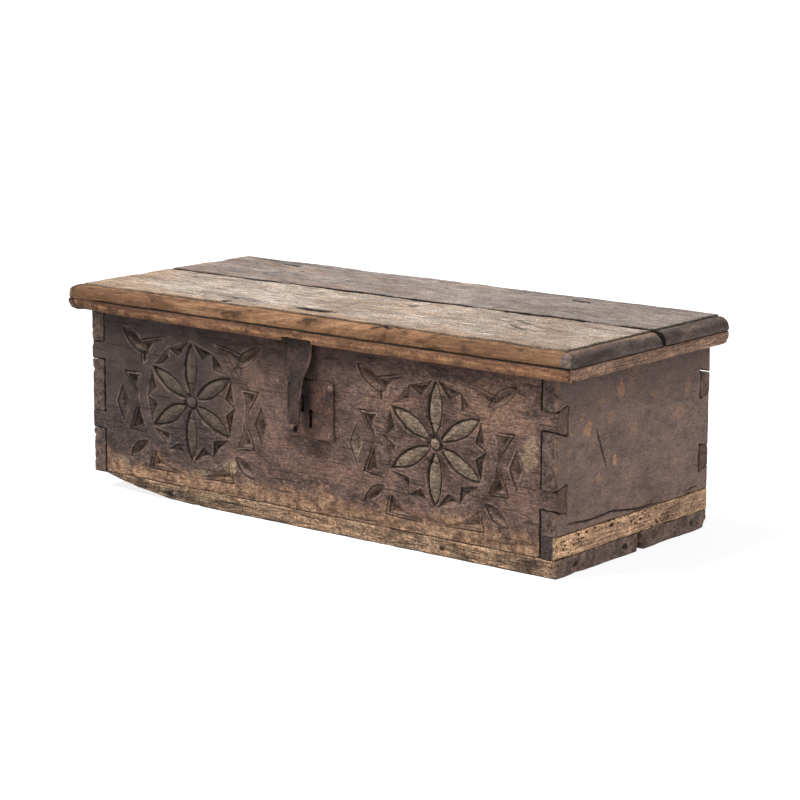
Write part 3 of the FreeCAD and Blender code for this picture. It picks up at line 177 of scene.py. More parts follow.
def cracked(drop, sunk, u, v, paths, half, depth, dark_at):
    """A face's depth and dirt with cracks cut into it; paths and sizes are in millimetres."""
    for stops in paths:
        crack = cut(u, v, np.array(stops) * MM, half * MM, depth * MM)
        drop = drop + crack
        sunk = np.maximum(sunk, smooth(crack, 0, dark_at * MM))
    return drop, sunk


# ---- meshes -------------------------------------------------------------------------------

def lines(low, high, step, *marks):
    """Grid lines from low to high, about a step apart, with a line on every mark."""
    stops = sorted({low, high, *[mark for mark in marks if low < mark < high]})
    found = [np.array([low])]
    for start, end in zip(stops, stops[1:]):
        count = max(1, round((end - start) / step))
        found.append(np.linspace(start, end, count + 1)[1:])
    return np.concatenate(found)


def cells(us, vs):
    """Middles of a grid's cells, as two arrays."""
    return np.meshgrid((us[1:] + us[:-1]) / 2, (vs[1:] + vs[:-1]) / 2, indexing="ij")


def slab(us, vs, layers, filled=None):
    """The skin of a grid of cells, one slab thick: its points' u, v and t, and its quads.

    t runs from 0 to 1 through the slab. filled says which cells of the u-v grid are there; the
    others are holes or notches.
    """
    ts = np.linspace(0, 1, layers)
    nu, nv, nt = len(us), len(vs), len(ts)
    if filled is None:
        filled = np.ones((nu - 1, nv - 1), bool)
    index = np.arange(nu * nv * nt).reshape(nu, nv, nt)
    quads = []
    i, j = np.nonzero(filled)
    for k, order in ((0, (0, 3, 2, 1)), (nt - 1, (0, 1, 2, 3))):
        ring = [index[i, j, k], index[i + 1, j, k], index[i + 1, j + 1, k], index[i, j + 1, k]]
        quads.append(np.stack([ring[n] for n in order], axis=1))
    padded = np.pad(filled, 1)
    k = np.arange(nt - 1)
    for axis, (du, dv) in enumerate(((0, 1), (1, 0))):
        step = np.diff(padded.astype(int), axis=axis)
        step = step[:, 1:-1] if axis == 0 else step[1:-1, :]
        for sign in (1, -1):
            a, b = (item[:, None] for item in np.nonzero(step == sign))
            near, far = (a, b), (a + du, b + dv)
            ring = [index[(*place, layer)] for place, layer in (
                ((near, k), (near, k + 1), (far, k + 1), (far, k)) if axis == 0 else
                ((near, k), (far, k), (far, k + 1), (near, k + 1)))]
            if sign < 0:
                ring.reverse()
            quads.append(np.stack([item.ravel() for item in ring], axis=1))
    used, quads = np.unique(np.concatenate(quads), return_inverse=True)
    points = np.stack(np.meshgrid(us, vs, ts, indexing="ij"), axis=-1).reshape(-1, 3)
    return (*points[used].T, quads.reshape(-1, 4))


def faces(low, high):
    """The outer and the inner of a board's two faces; the outer is further from the middle."""
    inner, outer = sorted((low, high), key=abs)
    return outer, inner


def through(outer, inner, drop, back, t):
    """Places through a board whose outer face is sunk by drop and whose inner one by back."""
    return outer + np.sign(inner - outer) * (drop + t * (abs(outer - inner) - drop - back))


def wander(points, amount, size, seed):
    """Points moved a little by noise, so that edges aren't straight."""
    moved = [noise(points, size, seed + axis, 2) for axis in range(3)]
    return points + amount * np.stack(moved, axis=1)


def on_face(t, **marks):
    """Marks kept on a board's outer face only."""
    return {key: values * (t < 0.01) for key, values in marks.items()}


def box_of(name):
    """Corners of the CAD node that a piece stands for."""
    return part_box(PIECES[name][0])


def make(name, points, quads, paint, kept_in=True):
    """A piece from points and quads: outward faces, smooth with sharp creases, on its body.

    kept_in keeps it inside the box of its CAD node; paint holds its point attributes.
    """
    node, body, slot, material = PIECES[name]
    if kept_in:
        points = np.clip(points, *(np.array(corner) for corner in box_of(name)))
    corners = points[quads]
    crossed = np.cross(corners[:, 2] - corners[:, 0], corners[:, 3] - corners[:, 1])
    if np.einsum("ij,ij->", corners.mean(axis=1), crossed) < 0:
        quads = quads[:, ::-1]
    mesh = bpy.data.meshes.new(name)
    mesh.vertices.add(len(points))
    mesh.vertices.foreach_set("co", points.astype(np.float32).ravel())
    mesh.loops.add(quads.size)
    mesh.loops.foreach_set("vertex_index", quads.astype(np.int32).ravel())
    mesh.polygons.add(len(quads))
    mesh.polygons.foreach_set("loop_start", np.arange(0, quads.size, 4, dtype=np.int32))
    mesh.update(calc_edges=True)
    mesh.polygons.foreach_set("use_smooth", np.ones(len(quads), bool))
    mesh.set_sharp_from_angle(angle=math.radians(50))
    for key, values in paint.items():
        attribute = mesh.attributes.new(key, "FLOAT", "POINT")
        attribute.data.foreach_set("value", values.astype(np.float32))
    mesh.materials.append(MATERIALS[material])
    piece = bpy.data.objects.new(name, mesh)
    bpy.context.scene.collection.objects.link(piece)
    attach(piece, body)
    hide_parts(node)


# ---- materials ----------------------------------------------------------------------------

ALONG = {"x": (0.035, 1, 1), "y": (1, 0.035, 1), "short x": (0.10, 1, 1),
         "blurred y": (1, 0.3, 1)}
# Near-black laid for real dirt and for painted shade in hollows, seams and cuts.
DIRT_AND_SHADE = (0.006, 0.0045, 0.004)


def tinted(colour, factor):
    """A colour, lighter or darker."""
    return tuple(channel * factor for channel in colour)


class Shader:
    """A material whose nodes are added by calls that return sockets.

    colour is what has been laid so far; calm is a share where fine figure is left out.
    """

    def __init__(self, name, roughness=0.8, metallic=0.0, gloss=0.08):
        self.material = bpy.data.materials.new(name)
        self.material.use_nodes = True
        self.tree = self.material.node_tree
        self.surface = self.tree.nodes["Principled BSDF"]
        self.set("Roughness", roughness)
        self.set("Metallic", metallic)
        self.set("Specular IOR Level", gloss)
        self.place = self.tree.nodes.new("ShaderNodeTexCoord").outputs["Object"]
        self.seed = 0
        self.colour = None
        self.calm = None

    def set(self, key, value):
        self.surface.inputs[key].default_value = value

    def node(self, kind, feeds, **settings):
        made = self.tree.nodes.new(kind)
        for key, value in settings.items():
            setattr(made, key, value)
        for key, value in feeds.items():
            if isinstance(value, bpy.types.NodeSocket):
                self.tree.links.new(value, made.inputs[key])
            else:
                made.inputs[key].default_value = value
        return made

    def math(self, operation, a, b):
        return self.node("ShaderNodeMath", {0: a, 1: b}, operation=operation).outputs[0]

    def times(self, value, *others):
        """The product of values."""
        for other in others:
            value = self.math("MULTIPLY", value, other)
        return value

    def weighed(self, *pairs):
        """A sum of values, each times its weight."""
        total, *parts = [self.times(value, weight) for value, weight in pairs]
        for part in parts:
            total = self.math("ADD", total, part)
        return total

    def stretched(self, scale=(1, 1, 1)):
        """The object's coordinates, stretched; every call shifts them, so no pattern repeats."""
        self.seed += 1
        shift = (0.37 * self.seed, 0.61 * self.seed, 0.23 * self.seed)
        return self.node("ShaderNodeMapping", {"Vector": self.place, "Scale": scale,
                                               "Location": shift}).outputs[0]

    def noise(self, scale, detail=4.0, rough=0.55, warp=0.0, stretch=(1, 1, 1)):
        return self.node("ShaderNodeTexNoise", {
            "Vector": self.stretched(stretch), "Scale": scale, "Detail": detail,
            "Roughness": rough, "Distortion": warp}).outputs["Fac"]

    def pits(self, scale):
        return self.node("ShaderNodeTexVoronoi", {"Vector": self.stretched(),
                                                  "Scale": scale}).outputs["Distance"]

    def jitter(self, reach, *settings):
        """Noise round zero, its ends reach apart, to make limits ragged."""
        return self.times(self.math("SUBTRACT", self.noise(*settings), 0.5), reach)

    def fade(self, value, low, high):
        """0 where value is low, 1 where it is high, with soft ends."""
        return self.node("ShaderNodeMapRange", {"Value": value, "From Min": low,
                                                "From Max": high},
                         interpolation_type="SMOOTHSTEP").outputs[0]

    def attribute(self, name):
        return self.node("ShaderNodeAttribute", {}, attribute_name=name).outputs["Fac"]

    def axis(self, which):
        return self.node("ShaderNodeSeparateXYZ", {0: self.place}).outputs["XYZ".index(which)]

    def band(self, which, low, high):
        """0 to 1 from low to high along an axis."""
        return self.fade(self.axis(which), low, high)

    def vector(self, operation, *feeds):
        made = self.node("ShaderNodeVectorMath", dict(enumerate(feeds)), operation=operation)
        return made.outputs[1 if operation == "LENGTH" else 0]

    def spots(self, places, ragged):
        """Soft ragged patches, each with a middle, half sizes and a strength, in millimetres."""
        rag = self.jitter(4 * ragged, 70, 6, 0.7)
        total = None
        for middle, half, strength in places:
            away = self.vector("SUBTRACT", self.place, [v * MM for v in middle])
            away = self.vector("MULTIPLY", away, [1 / (v * MM) for v in half])
            away = self.math("ADD", self.vector("LENGTH", away), rag)
            share = self.times(self.fade(away, 1.3, 0.5), strength)
            total = share if total is None else self.math("MAXIMUM", total, share)
        return total

    def ramp(self, value, *stops):
        made = self.node("ShaderNodeValToRGB", {"Fac": value})
        band = made.color_ramp.elements
        while len(band) < len(stops):
            band.new(0.5)
        for element, (place, colour) in zip(band, stops):
            element.position = place
            element.color = (*colour, 1)
        return made.outputs[0]

    def mottled(self, settings, *stops):
        """A ramp of colours over noise."""
        return self.ramp(self.noise(*settings), *stops)

    def mix(self, share, a, b, how="MIX"):
        feeds = {0: share, 6: a, 7: b}
        for key in (6, 7):
            if not isinstance(feeds[key], bpy.types.NodeSocket):
                feeds[key] = (*feeds[key], 1)
        return self.node("ShaderNodeMix", feeds, data_type="RGBA", blend_type=how).outputs[2]

    def lay(self, colour, *shares):
        """Lay a colour over what is there, by the product of the shares."""
        self.colour = self.mix(self.times(*shares), self.colour, colour)

    def stain(self, colour, strength, low, high, *settings):
        """Lay a colour over patches of noise."""
        self.lay(colour, self.fade(self.noise(*settings), low, high), strength)

    def rub_and_highlight(self, colour, share):
        """Lighter wood or iron where the piece's own edges are rubbed; on the hasp's strap also
        a painted highlight along its right edge and curled tip.
        """
        self.lay(colour, self.attribute("rubbed"),
                 self.fade(self.noise(60, 6, 0.7), 0.42, 0.58), share)

    def shade(self, value, low, high, dark, light):
        """Darken the colour where value is low and lighten it where it is high."""
        grey = self.ramp(value, (low, (dark,) * 3), ((low + high) / 2, (1,) * 3),
                         (high, (light,) * 3))
        self.colour = self.mix(1.0, self.colour, grey, "MULTIPLY")

    def hollow(self, distance):
        """How much of the sky the surroundings hide, over a short distance."""
        made = self.node("ShaderNodeAmbientOcclusion", {"Distance": distance}, samples=8)
        return self.math("SUBTRACT", 1.0, made.outputs["AO"])

    def finish(self, roughness, height, depth):
        """Link the colour, the roughness and a bump to the surface."""
        bump = self.node("ShaderNodeBump", {"Height": height, "Distance": depth}).outputs[0]
        for key, value in (("Base Color", self.colour), ("Roughness", roughness),
                           ("Normal", bump)):
            self.tree.links.new(value, self.surface.inputs[key])
        return self.material


def old_wood(name, grain, tones, worn_from, bite, hollow_shade, paint):
    """Old oiled and dirty wood: pores and streaks along the grain, stains, rubbed patches.

    tones are its dark, middle and light colours and that of its worn patches; bite says how
    rough the fine figure looks, hollow_shade how much painted shade its hollows get; paint adds
    the board's own.
    """
    dark, middle, light, worn = tones
    s = Shader(name)

    def grained(factor):
        """Stretch along the grain, made shorter by a factor."""
        return tuple(factor * n if n < 1 else 1 for n in ALONG[grain])
    short_way = tuple(0.3 if n < 1 else 1 for n in ALONG[grain])
    fibres = s.noise(1500, 3, 0.6, stretch=ALONG[grain])
    pores = s.noise(620, 5, 0.65, 0.3, grained(2))
    streaks = s.noise(150, 6, 0.65, 0.6, grained(2))
    bands = s.noise(45, 6, 0.65, 1.2, short_way)
    mottle = s.noise(110, 9, 0.78, 0.4)
    clouds = s.noise(15, 5, 0.6, 0.8)
    specks = s.noise(560, 5, 0.75)
    tone = s.weighed((clouds, 0.28), (bands, 0.24), (mottle, 0.30), (streaks, 0.18))
    s.colour = s.ramp(tone, (0.41, dark), (0.50, middle), (0.58, light))
    rubbed = s.weighed((s.noise(32, 8, 0.75, 0.8, short_way), 0.55), (mottle, 0.30),
                       (pores, 0.15))
    rubbed = s.fade(rubbed, worn_from, worn_from + 0.06)
    s.lay(worn, rubbed, 0.85)
    paint(s)
    plain = s.colour
    for figure, low, high, dim, shine in ((pores, 0.41, 0.59, 0.40, 0.30),
                                          (fibres, 0.38, 0.62, 0.25, 0.25),
                                          (specks, 0.41, 0.59, 0.50, 0.50)):
        s.shade(figure, low, high, 1 - dim * bite, 1 + shine * bite)
    if s.calm is not None:
        s.colour = s.mix(s.calm, s.colour, plain)
    checks = s.fade(s.noise(330, 2, 0.5, 0.2, grained(0.6)), 0.63, 0.69)
    s.lay(tinted(dark, 0.35), checks, 0.7 * bite)
    # Painted shade: near-black laid where ambient occlusion finds hollows.
    s.lay(DIRT_AND_SHADE, s.fade(s.hollow(5 * MM), 0.30, 0.80), hollow_shade)
    # The sunk attribute: real dirt in joints, cracks, dents and worm holes, and painted shade in
    # carved cuts, the lid's joint wall and quirk, and the moulding's seam and notch.
    s.lay(DIRT_AND_SHADE, s.attribute("sunk"), 0.93)
    roughness = s.math("ADD", s.weighed((mottle, 0.4), (specks, 0.2), (rubbed, -0.08)), 0.32)
    height = s.weighed((fibres, 0.3), (pores, 0.6), (specks, 0.5), (mottle, 0.6), (checks, -0.3))
    return s.finish(roughness, height, 1.4 * MM)


FRONT_WARM = (
    ((-72, -130, 138), (16, 60, 26), 0.55), ((-40, -130, 92), (18, 60, 20), 0.5),
    ((-98, -130, 60), (12, 60, 8), 0.75), ((118, -130, 140), (24, 60, 14), 0.75),
    ((30, -130, 62), (80, 60, 14), 0.5), ((232, -130, 146), (44, 60, 26), 0.9),
    ((-250, -130, 128), (10, 60, 12), 0.4), ((85, -130, 150), (14, 60, 12), 0.5),
    ((160, -130, 38), (70, 60, 8), 0.6), ((252, -130, 70), (20, 60, 24), 0.4),
    ((225, -130, 162), (50, 60, 14), 0.8),
    ((-205, -130, 136), (12, 60, 14), 0.4), ((-120, -130, 150), (12, 60, 8), 0.4),
)
FRONT_PALE = (
    ((268, -130, 114), (9, 60, 22), 0.4), ((-106, -130, 47), (8, 60, 9), 1.0),
    ((-258, -130, 30), (10, 60, 10), 0.6), ((-150, -130, 33), (12, 60, 7), 0.5),
)
# Dark patches on the front: stains, and the painted shadow of the hasp's strap (the first two,
# beside the strap).
FRONT_STAINS_AND_STRAP_SHADOW = (
    ((2, -130, 172), (10, 60, 24), 0.9), ((-2, -130, 150), (9, 60, 12), 0.8),
    ((205, -130, 100), (12, 60, 34), 0.35), ((0, -130, 88), (40, 60, 5), 0.4),
)
END_SPOTS = (
    ((300, -88, 148), (60, 6, 5), 1.0), ((300, -80, 134), (60, 4, 6), 1.0),
    ((300, -28, 163), (60, 4, 9), 1.0), ((300, -37, 99), (60, 4, 6), 1.0),
    ((300, -70, 64), (60, 3, 4), 0.7), ((300, 78, 128), (60, 8, 4), 0.4),
    ((300, 92, 150), (60, 4, 6), 0.4), ((300, -110, 118), (60, 3, 20), 0.5),
    ((300, 70, 78), (60, 8, 4), 0.3), ((300, -45, 140), (60, 5, 5), 0.4),
    ((300, -5, 120), (60, 7, 3), 0.3), ((300, 30, 150), (60, 6, 3), 0.3),
    ((300, -60, 86), (60, 4, 5), 0.5), ((300, -15, 76), (60, 3, 3), 0.5),
)
BASE_MARKS = (
    ((-190, -130, 8), (4, 30, 3), 0.9), ((168, -130, 9), (4, 30, 3), 0.9),
    ((300, -97, 9), (20, 4, 3), 0.9), ((300, -15, 9), (20, 4, 3), 0.9),
    ((300, 103, 9), (20, 4, 3), 0.8), ((40, -130, 7), (5, 30, 2), 0.6),
)


def paint_panel(s):
    """Warm and pale patches, a light foot, a dark left end, painted shade along the top under
    the lid and the strap's painted shadow; petals of duller wood.
    """
    height = s.math("ADD", s.axis("Z"), s.jitter(0.10, 30, 8, 0.75))
    s.lay((0.160, 0.094, 0.067), s.spots(FRONT_WARM, 1.1))
    s.lay((0.276, 0.200, 0.121), s.spots(FRONT_PALE, 0.9))
    s.lay(s.mottled((90, 7, 0.75), (0.40, (0.088, 0.048, 0.030)), (0.50, (0.172, 0.099, 0.059)),
                    (0.60, (0.27, 0.167, 0.103))), s.fade(height, 0.046, 0.024), 0.95)
    # Painted shade under the lid's overhang: a darker, calmer top of the front.
    top = s.times(s.fade(height, 0.140, 0.188), s.band("X", 0.15, 0.02))
    left = s.times(s.fade(height, 0.07, 0.12), s.band("X", 0.05, -0.16))
    s.calm = s.times(s.math("MAXIMUM", left, top), 0.75)
    s.lay(s.mottled((60, 7, 0.72), (0.42, (0.0276, 0.0179, 0.0166)),
                    (0.58, (0.063, 0.040, 0.036))), top)
    s.lay(s.mottled((50, 6, 0.65), (0.40, (0.031, 0.0225, 0.0208)),
                    (0.60, (0.053, 0.0385, 0.0352))),
          s.band("X", -0.07, -0.15), s.fade(height, 0.03, 0.06), 0.9)
    # Dark stains, and the painted shadow of the hasp's strap.
    s.lay((0.030, 0.0193, 0.0166), s.spots(FRONT_STAINS_AND_STRAP_SHADOW, 0.5))
    s.lay((0.276, 0.172, 0.103), s.fade(s.noise(520, 3, 0.6), 0.60, 0.66),
          s.fade(s.noise(24, 4, 0.6), 0.48, 0.58), s.band("X", -0.14, -0.06),
          s.band("Z", 0.165, 0.145), 0.6)
    s.rub_and_highlight((0.205, 0.140, 0.102), 0.6)
    petals = s.mottled((230, 7, 0.78), (0.38, (0.054, 0.038, 0.0252)),
                       (0.44, (0.128, 0.093, 0.063)), (0.53, (0.168, 0.126, 0.090)),
                       (0.62, (0.243, 0.186, 0.135)))
    dull = s.mottled((120, 6, 0.7), (0.42, (0.030, 0.0220, 0.0172)),
                     (0.58, (0.075, 0.055, 0.042)))
    petals = s.mix(s.times(s.band("X", -0.02, -0.09), 0.8), petals, dull)
    s.lay(petals, s.attribute("raised"), 0.9)


def paint_end(s):
    """Orange spots, painted shade along the top under the lid, darker towards the front edge,
    and end grain where the tails show.
    """
    s.lay((0.320, 0.175, 0.095), s.spots(END_SPOTS, 2.2),
          s.fade(s.noise(260, 5, 0.7), 0.34, 0.50))
    # Painted shade under the lid's overhang along the top of the end.
    s.lay((0.058, 0.038, 0.0345), s.band("Z", 0.115, 0.180), 0.65)
    s.lay((0.078, 0.059, 0.053), s.band("Y", -0.070, -0.115), 0.4)
    s.shade(s.noise(800, 4, 0.7), 0.40, 0.60, 0.85, 1.15)
    s.lay(s.mottled((160, 6, 0.75), (0.42, (0.040, 0.027, 0.024)),
                    (0.50, (0.075, 0.051, 0.044)), (0.60, (0.125, 0.083, 0.067))),
          s.band("Y", *SIDE_TOE))
    s.rub_and_highlight((0.215, 0.130, 0.085), 0.6)


def paint_strip(s):
    """Pale near the front corner, duller towards the back, dark end grain at the front."""
    s.lay((0.640, 0.410, 0.240), s.band("Y", -0.035, -0.110), 0.45)
    s.lay((0.040, 0.0288, 0.0273), s.band("Y", *SIDE_TOE))
    s.lay((0.135, 0.082, 0.060), s.band("Y", -0.020, 0.090), 0.40)
    s.rub_and_highlight((0.446, 0.292, 0.160), 0.7)


def paint_base(s):
    """Dark end grain, warm wood along the right of the front, and nail stains."""
    end = s.band("X", 0.2945, 0.2985)
    s.lay(s.mottled((70, 8, 0.75), (0.41, (0.060, 0.042, 0.035)),
                    (0.50, (0.112, 0.075, 0.062)), (0.59, (0.180, 0.120, 0.094))), end, 0.95)
    s.calm = s.times(end, 0.6)
    s.lay((0.330, 0.200, 0.122), s.band("X", -0.150, 0.020),
          s.fade(s.noise(30, 7, 0.75, 0, (0.4, 1, 1)), 0.42, 0.54),
          s.band("X", 0.298, 0.292), 0.55)
    s.rub_and_highlight((0.300, 0.190, 0.115), 0.6)
    s.lay(DIRT_AND_SHADE, s.spots(BASE_MARKS, 0.6))


def paint_lid_ends(s, reach):
    """Dark end grain on the moulded right end, warm wood on the left one."""
    figure = s.noise(60, 8, 0.75, 0.8, (1, 0.3, 1))
    right_end = s.band("X", reach - MM, reach + MM)
    s.lay(s.ramp(figure, (0.38, (0.042, 0.030, 0.027)), (0.50, (0.074, 0.054, 0.047)),
                 (0.64, (0.135, 0.097, 0.080))), right_end)
    calm = s.times(right_end, 0.6)
    s.calm = calm if s.calm is None else s.math("MAXIMUM", s.calm, calm)
    s.lay(s.ramp(figure, (0.41, (0.034, 0.0206, 0.0137)), (0.50, (0.109, 0.060, 0.032)),
                 (0.60, (0.206, 0.114, 0.063))), s.band("X", MM - reach, -MM - reach))


def paint_scratches(s, light):
    """Thin pale scratches that cross the grain at a slant."""
    for slant in (0.5, -0.8):
        slanted = s.node("ShaderNodeMapping", {
            "Vector": s.place, "Rotation": (0, 0, slant), "Scale": (0.08, 1, 1)}).outputs[0]
        fine = s.node("ShaderNodeTexNoise", {"Vector": slanted, "Scale": 420.0,
                                             "Detail": 3.0}).outputs["Fac"]
        s.lay(light, s.fade(fine, 0.64, 0.70), s.fade(s.noise(22, 3), 0.5, 0.60))


def paint_lid(s):
    """Grey and brown stains and dark dents on top, oiled brown wood along the nose."""
    s.stain((0.117, 0.095, 0.086), 0.65, 0.53, 0.60, 26, 8, 0.75, 1.0, (0.35, 1, 1))
    s.stain((0.225, 0.158, 0.110), 0.62, 0.49, 0.57, 19, 8, 0.75, 1.0, (0.3, 1, 1))
    s.stain((0.045, 0.032, 0.0270), 0.8, 0.64, 0.69, 150, 4, 0.6, 0.5, (0.3, 1, 1))
    ragged = s.jitter(0.16, 30, 8, 0.75, 0, (0.4, 1, 1))
    across, deep = (s.math("ADD", s.axis(name), ragged) for name in "XY")
    near = s.math("MAXIMUM", s.fade(deep, LID_LOW.y + 44 * MM, LID_LOW.y + QUIRK),
                  s.fade(across, -0.23, -0.30))
    s.lay((0.235, 0.160, 0.103), near, 0.7)
    s.lay((0.150, 0.112, 0.090), s.fade(across, 0.10, 0.24), 0.4)
    front = s.band("Y", LID_LOW.y + QUIRK + MM, LID_LOW.y + QUIRK - MM)
    s.calm = s.times(front, 0.6)
    nose = s.mottled((40, 9, 0.75, 0.8, (0.4, 1, 1)), (0.37, (0.040, 0.0198, 0.0108)),
                     (0.44, (0.106, 0.053, 0.0264)), (0.53, (0.173, 0.090, 0.046)),
                     (0.61, (0.231, 0.129, 0.069)))
    ends = s.math("MAXIMUM", s.band("X", -0.10, -0.28), s.band("X", 0.12, 0.26))
    s.lay(s.mix(s.times(ends, 0.58), nose, (0.070, 0.034, 0.0180)), front)
    paint_lid_ends(s, LID_HIGH.x - QUIRK)
    s.rub_and_highlight((0.243, 0.135, 0.068), 0.6)


def paint_rear_lid(s):
    """Grey stains, brown ones at the left, pale scratches, darker towards the right."""
    s.stain((0.069, 0.058, 0.059), 0.6, 0.54, 0.63, 26, 8, 0.75, 1.0, (0.35, 1, 1))
    s.lay((0.185, 0.118, 0.080), s.fade(s.noise(21, 8, 0.75, 1.0, (0.3, 1, 1)), 0.46, 0.56),
          s.band("X", 0.10, -0.10), 0.55)
    s.lay((0.120, 0.094, 0.078), s.band("X", 0.02, 0.24), 0.35)
    paint_scratches(s, (0.286, 0.270, 0.254))
    paint_lid_ends(s, REAR_HIGH.x - QUIRK)


def paint_edge(s):
    """The moulding is darker at its left end."""
    s.lay((0.060, 0.0264, 0.0156), s.band("X", -0.12, -0.26), 0.8)
    s.rub_and_highlight((0.324, 0.174, 0.084), 0.45)


def paint_cleat(s):
    s.rub_and_highlight((0.250, 0.150, 0.098), 0.7)


WOODS = {
    # name: grain, its dark, middle and light and worn tones, worn_from, bite, hollow_shade
    # (painted shade in hollows), paint
    "panel_wood": ("short x", ((0.032, 0.0207, 0.0179), (0.077, 0.047, 0.039),
                               (0.124, 0.078, 0.061), (0.150, 0.092, 0.069)),
                   0.56, 0.75, 0.45, paint_panel),
    "end_wood": ("blurred y", ((0.088, 0.060, 0.053), (0.145, 0.096, 0.080),
                               (0.192, 0.127, 0.099), (0.271, 0.145, 0.077)),
                 0.565, 0.35, 0.93, paint_end),
    "strip_wood": ("y", ((0.112, 0.060, 0.036), (0.315, 0.185, 0.117),
                         (0.495, 0.322, 0.200), (0.552, 0.357, 0.205)),
                   0.54, 0.9, 0.93, paint_strip),
    "base_wood": ("x", ((0.031, 0.0212, 0.0152), (0.089, 0.057, 0.037),
                        (0.166, 0.113, 0.071), (0.224, 0.152, 0.094)),
                  0.54, 1.2, 0.93, paint_base),
    "lid_wood": ("x", ((0.124, 0.095, 0.076), (0.273, 0.223, 0.182),
                       (0.376, 0.322, 0.273), (0.341, 0.253, 0.177)),
                 0.53, 1.0, 0.93, paint_lid),
    "rear_lid_wood": ("x", ((0.091, 0.074, 0.067), (0.172, 0.142, 0.124),
                            (0.229, 0.192, 0.168), (0.239, 0.170, 0.114)),
                      0.55, 0.9, 0.93, paint_rear_lid),
    "edge_wood": ("x", ((0.070, 0.034, 0.0208), (0.130, 0.064, 0.036),
                        (0.184, 0.093, 0.053), (0.246, 0.130, 0.074)),
                  0.55, 0.6, 0.93, paint_edge),
    "cleat_wood": ("y", ((0.078, 0.046, 0.033), (0.148, 0.088, 0.062),
                         (0.222, 0.135, 0.093), (0.275, 0.148, 0.080)),
                   0.54, 0.9, 0.93, paint_cleat),
}


def rusty_iron(name, dark, middle, rust, paint=None):
    """Wrought iron under old rust, pitted and patchy."""
    s = Shader(name, metallic=0.2, gloss=0.2)
    blotches = s.noise(75, 9, 0.75, 0.6)
    fine = s.noise(480, 6, 0.75)
    s.colour = s.ramp(s.weighed((blotches, 0.6), (fine, 0.4)), (0.41, dark), (0.50, middle),
                      (0.59, rust))
    s.shade(fine, 0.40, 0.60, 0.72, 1.28)
    if paint is not None:
        paint(s)
    # Rubbed iron at worn edges; on the hasp's strap the rubbed attribute also lays a painted
    # highlight.
    s.rub_and_highlight(tinted(rust, 2.2), 0.8)
    pocks = s.fade(s.pits(420), 0.30, 0.08)
    s.lay(tinted(dark, 0.4), pocks, 0.5)
    # Painted shade: near-black laid where ambient occlusion finds hollows.
    s.lay(DIRT_AND_SHADE, s.fade(s.hollow(4 * MM), 0.35, 0.9), 0.9)
    height = s.weighed((fine, 0.6), (blotches, 0.5), (pocks, -0.4))
    return s.finish(s.math("ADD", 0.42, s.times(fine, 0.4)), height, 1.1 * MM)


def paint_plate(s):
    """The lock plate has a painted shadow where the strap hangs in front of it, and is rusty
    towards its lower edge.
    """
    # Painted shadow of the hasp's strap on the plate.
    s.lay((0.0114, 0.0076, 0.0066), s.band("X", 0.009, 0.001), s.band("Z", 0.112, 0.124), 0.85)
    s.lay((0.119, 0.067, 0.046), s.band("Z", 0.116, 0.098),
          s.fade(s.noise(55, 6, 0.7), 0.42, 0.58), 0.8)


def paint_nail(s):
    """The nail beside the strap is painted dark with the strap's shade."""
    # Painted shade over the upper left nail, next to the strap.
    s.lay(DIRT_AND_SHADE, s.band("X", 0.0, -0.01), s.band("Z", 0.120, 0.130), 0.9)


IRONS = {
    # name: its dark, middle and rusty tones, and paint
    "hasp_iron": ((0.0125, 0.0074, 0.0068), (0.0280, 0.0160, 0.0142), (0.052, 0.0285, 0.0225)),
    "lock_iron": ((0.0224, 0.0122, 0.0104), (0.050, 0.0258, 0.0208), (0.094, 0.046, 0.0288),
                  paint_plate),
    "dark_iron": ((0.012, 0.009, 0.008), (0.030, 0.020, 0.016), (0.065, 0.034, 0.021)),
    "nail_iron": ((0.045, 0.029, 0.0260), (0.125, 0.080, 0.067), (0.240, 0.150, 0.120),
                  paint_nail),
}
MATERIALS = {name: old_wood(name, *style) for name, style in WOODS.items()}
MATERIALS.update({name: rusty_iron(name, *style) for name, style in IRONS.items()})

PIECES = {
    # piece: the CAD node it stands for, its body, its slot, its material
    "carved_front": ("front_panel", "chest", "panel_wood", "panel_wood"),
    "back_board": ("back_panel", "chest", "panel_wood", "panel_wood"),
    "left_end": ("left_side_board", "chest", "end_wood", "end_wood"),
    "right_end": ("right_side_board", "chest", "end_wood", "end_wood"),
    "side_strip": ("right_side_strip", "chest", "strip_wood", "strip_wood"),
    "front_plank": ("base_front_plank", "chest", "base_wood", "base_wood"),
    "rear_plank": ("base_rear_plank", "chest", "base_wood", "base_wood"),
    "front_lid_board": ("lid_front_board", "lid", "lid_wood", "lid_wood"),
    "rear_lid_board": ("lid_rear_board", "lid", "lid_wood", "rear_lid_wood"),
    "front_moulding": ("lid_front_moulding", "lid", "edge_wood", "edge_wood"),
    "left_cleat": ("lid_left_cleat", "lid", "edge_wood", "cleat_wood"),
    "right_cleat": ("lid_right_cleat", "lid", "edge_wood", "cleat_wood"),
    "hasp_strap": ("hasp", "hasp_strap", "hasp_iron", "hasp_iron"),
    "lock_face": ("lock_plate", "chest", "lock_iron", "lock_iron"),
    "plate_nails": ("lock_plate_nails", "chest", "nail_iron", "nail_iron"),
    "plank_nails": ("base_nails", "chest", "nail_iron", "dark_iron"),
}


# ---- carving ------------------------------------------------------------------------------

ROSETTES = (-158.2 * MM, 158.2 * MM)
ROSETTE_HEIGHT = 108.6 * MM
ROSETTE_REACH = (125 * MM, 88 * MM)
PETAL_ROOT = 6 * MM
PETAL_TIP = 61 * MM
PETAL_HALF = 8.2 * MM
BEAD = 19 * MM
BUTTON = 7 * MM
INNER_RING = 61.5 * MM
# Corners of a chip: millimetres from the rosette's middle, degrees from between two petals.
CHIP_CORNERS = ((60.5, 26), (48.5, 9.7), (60, 0.6))
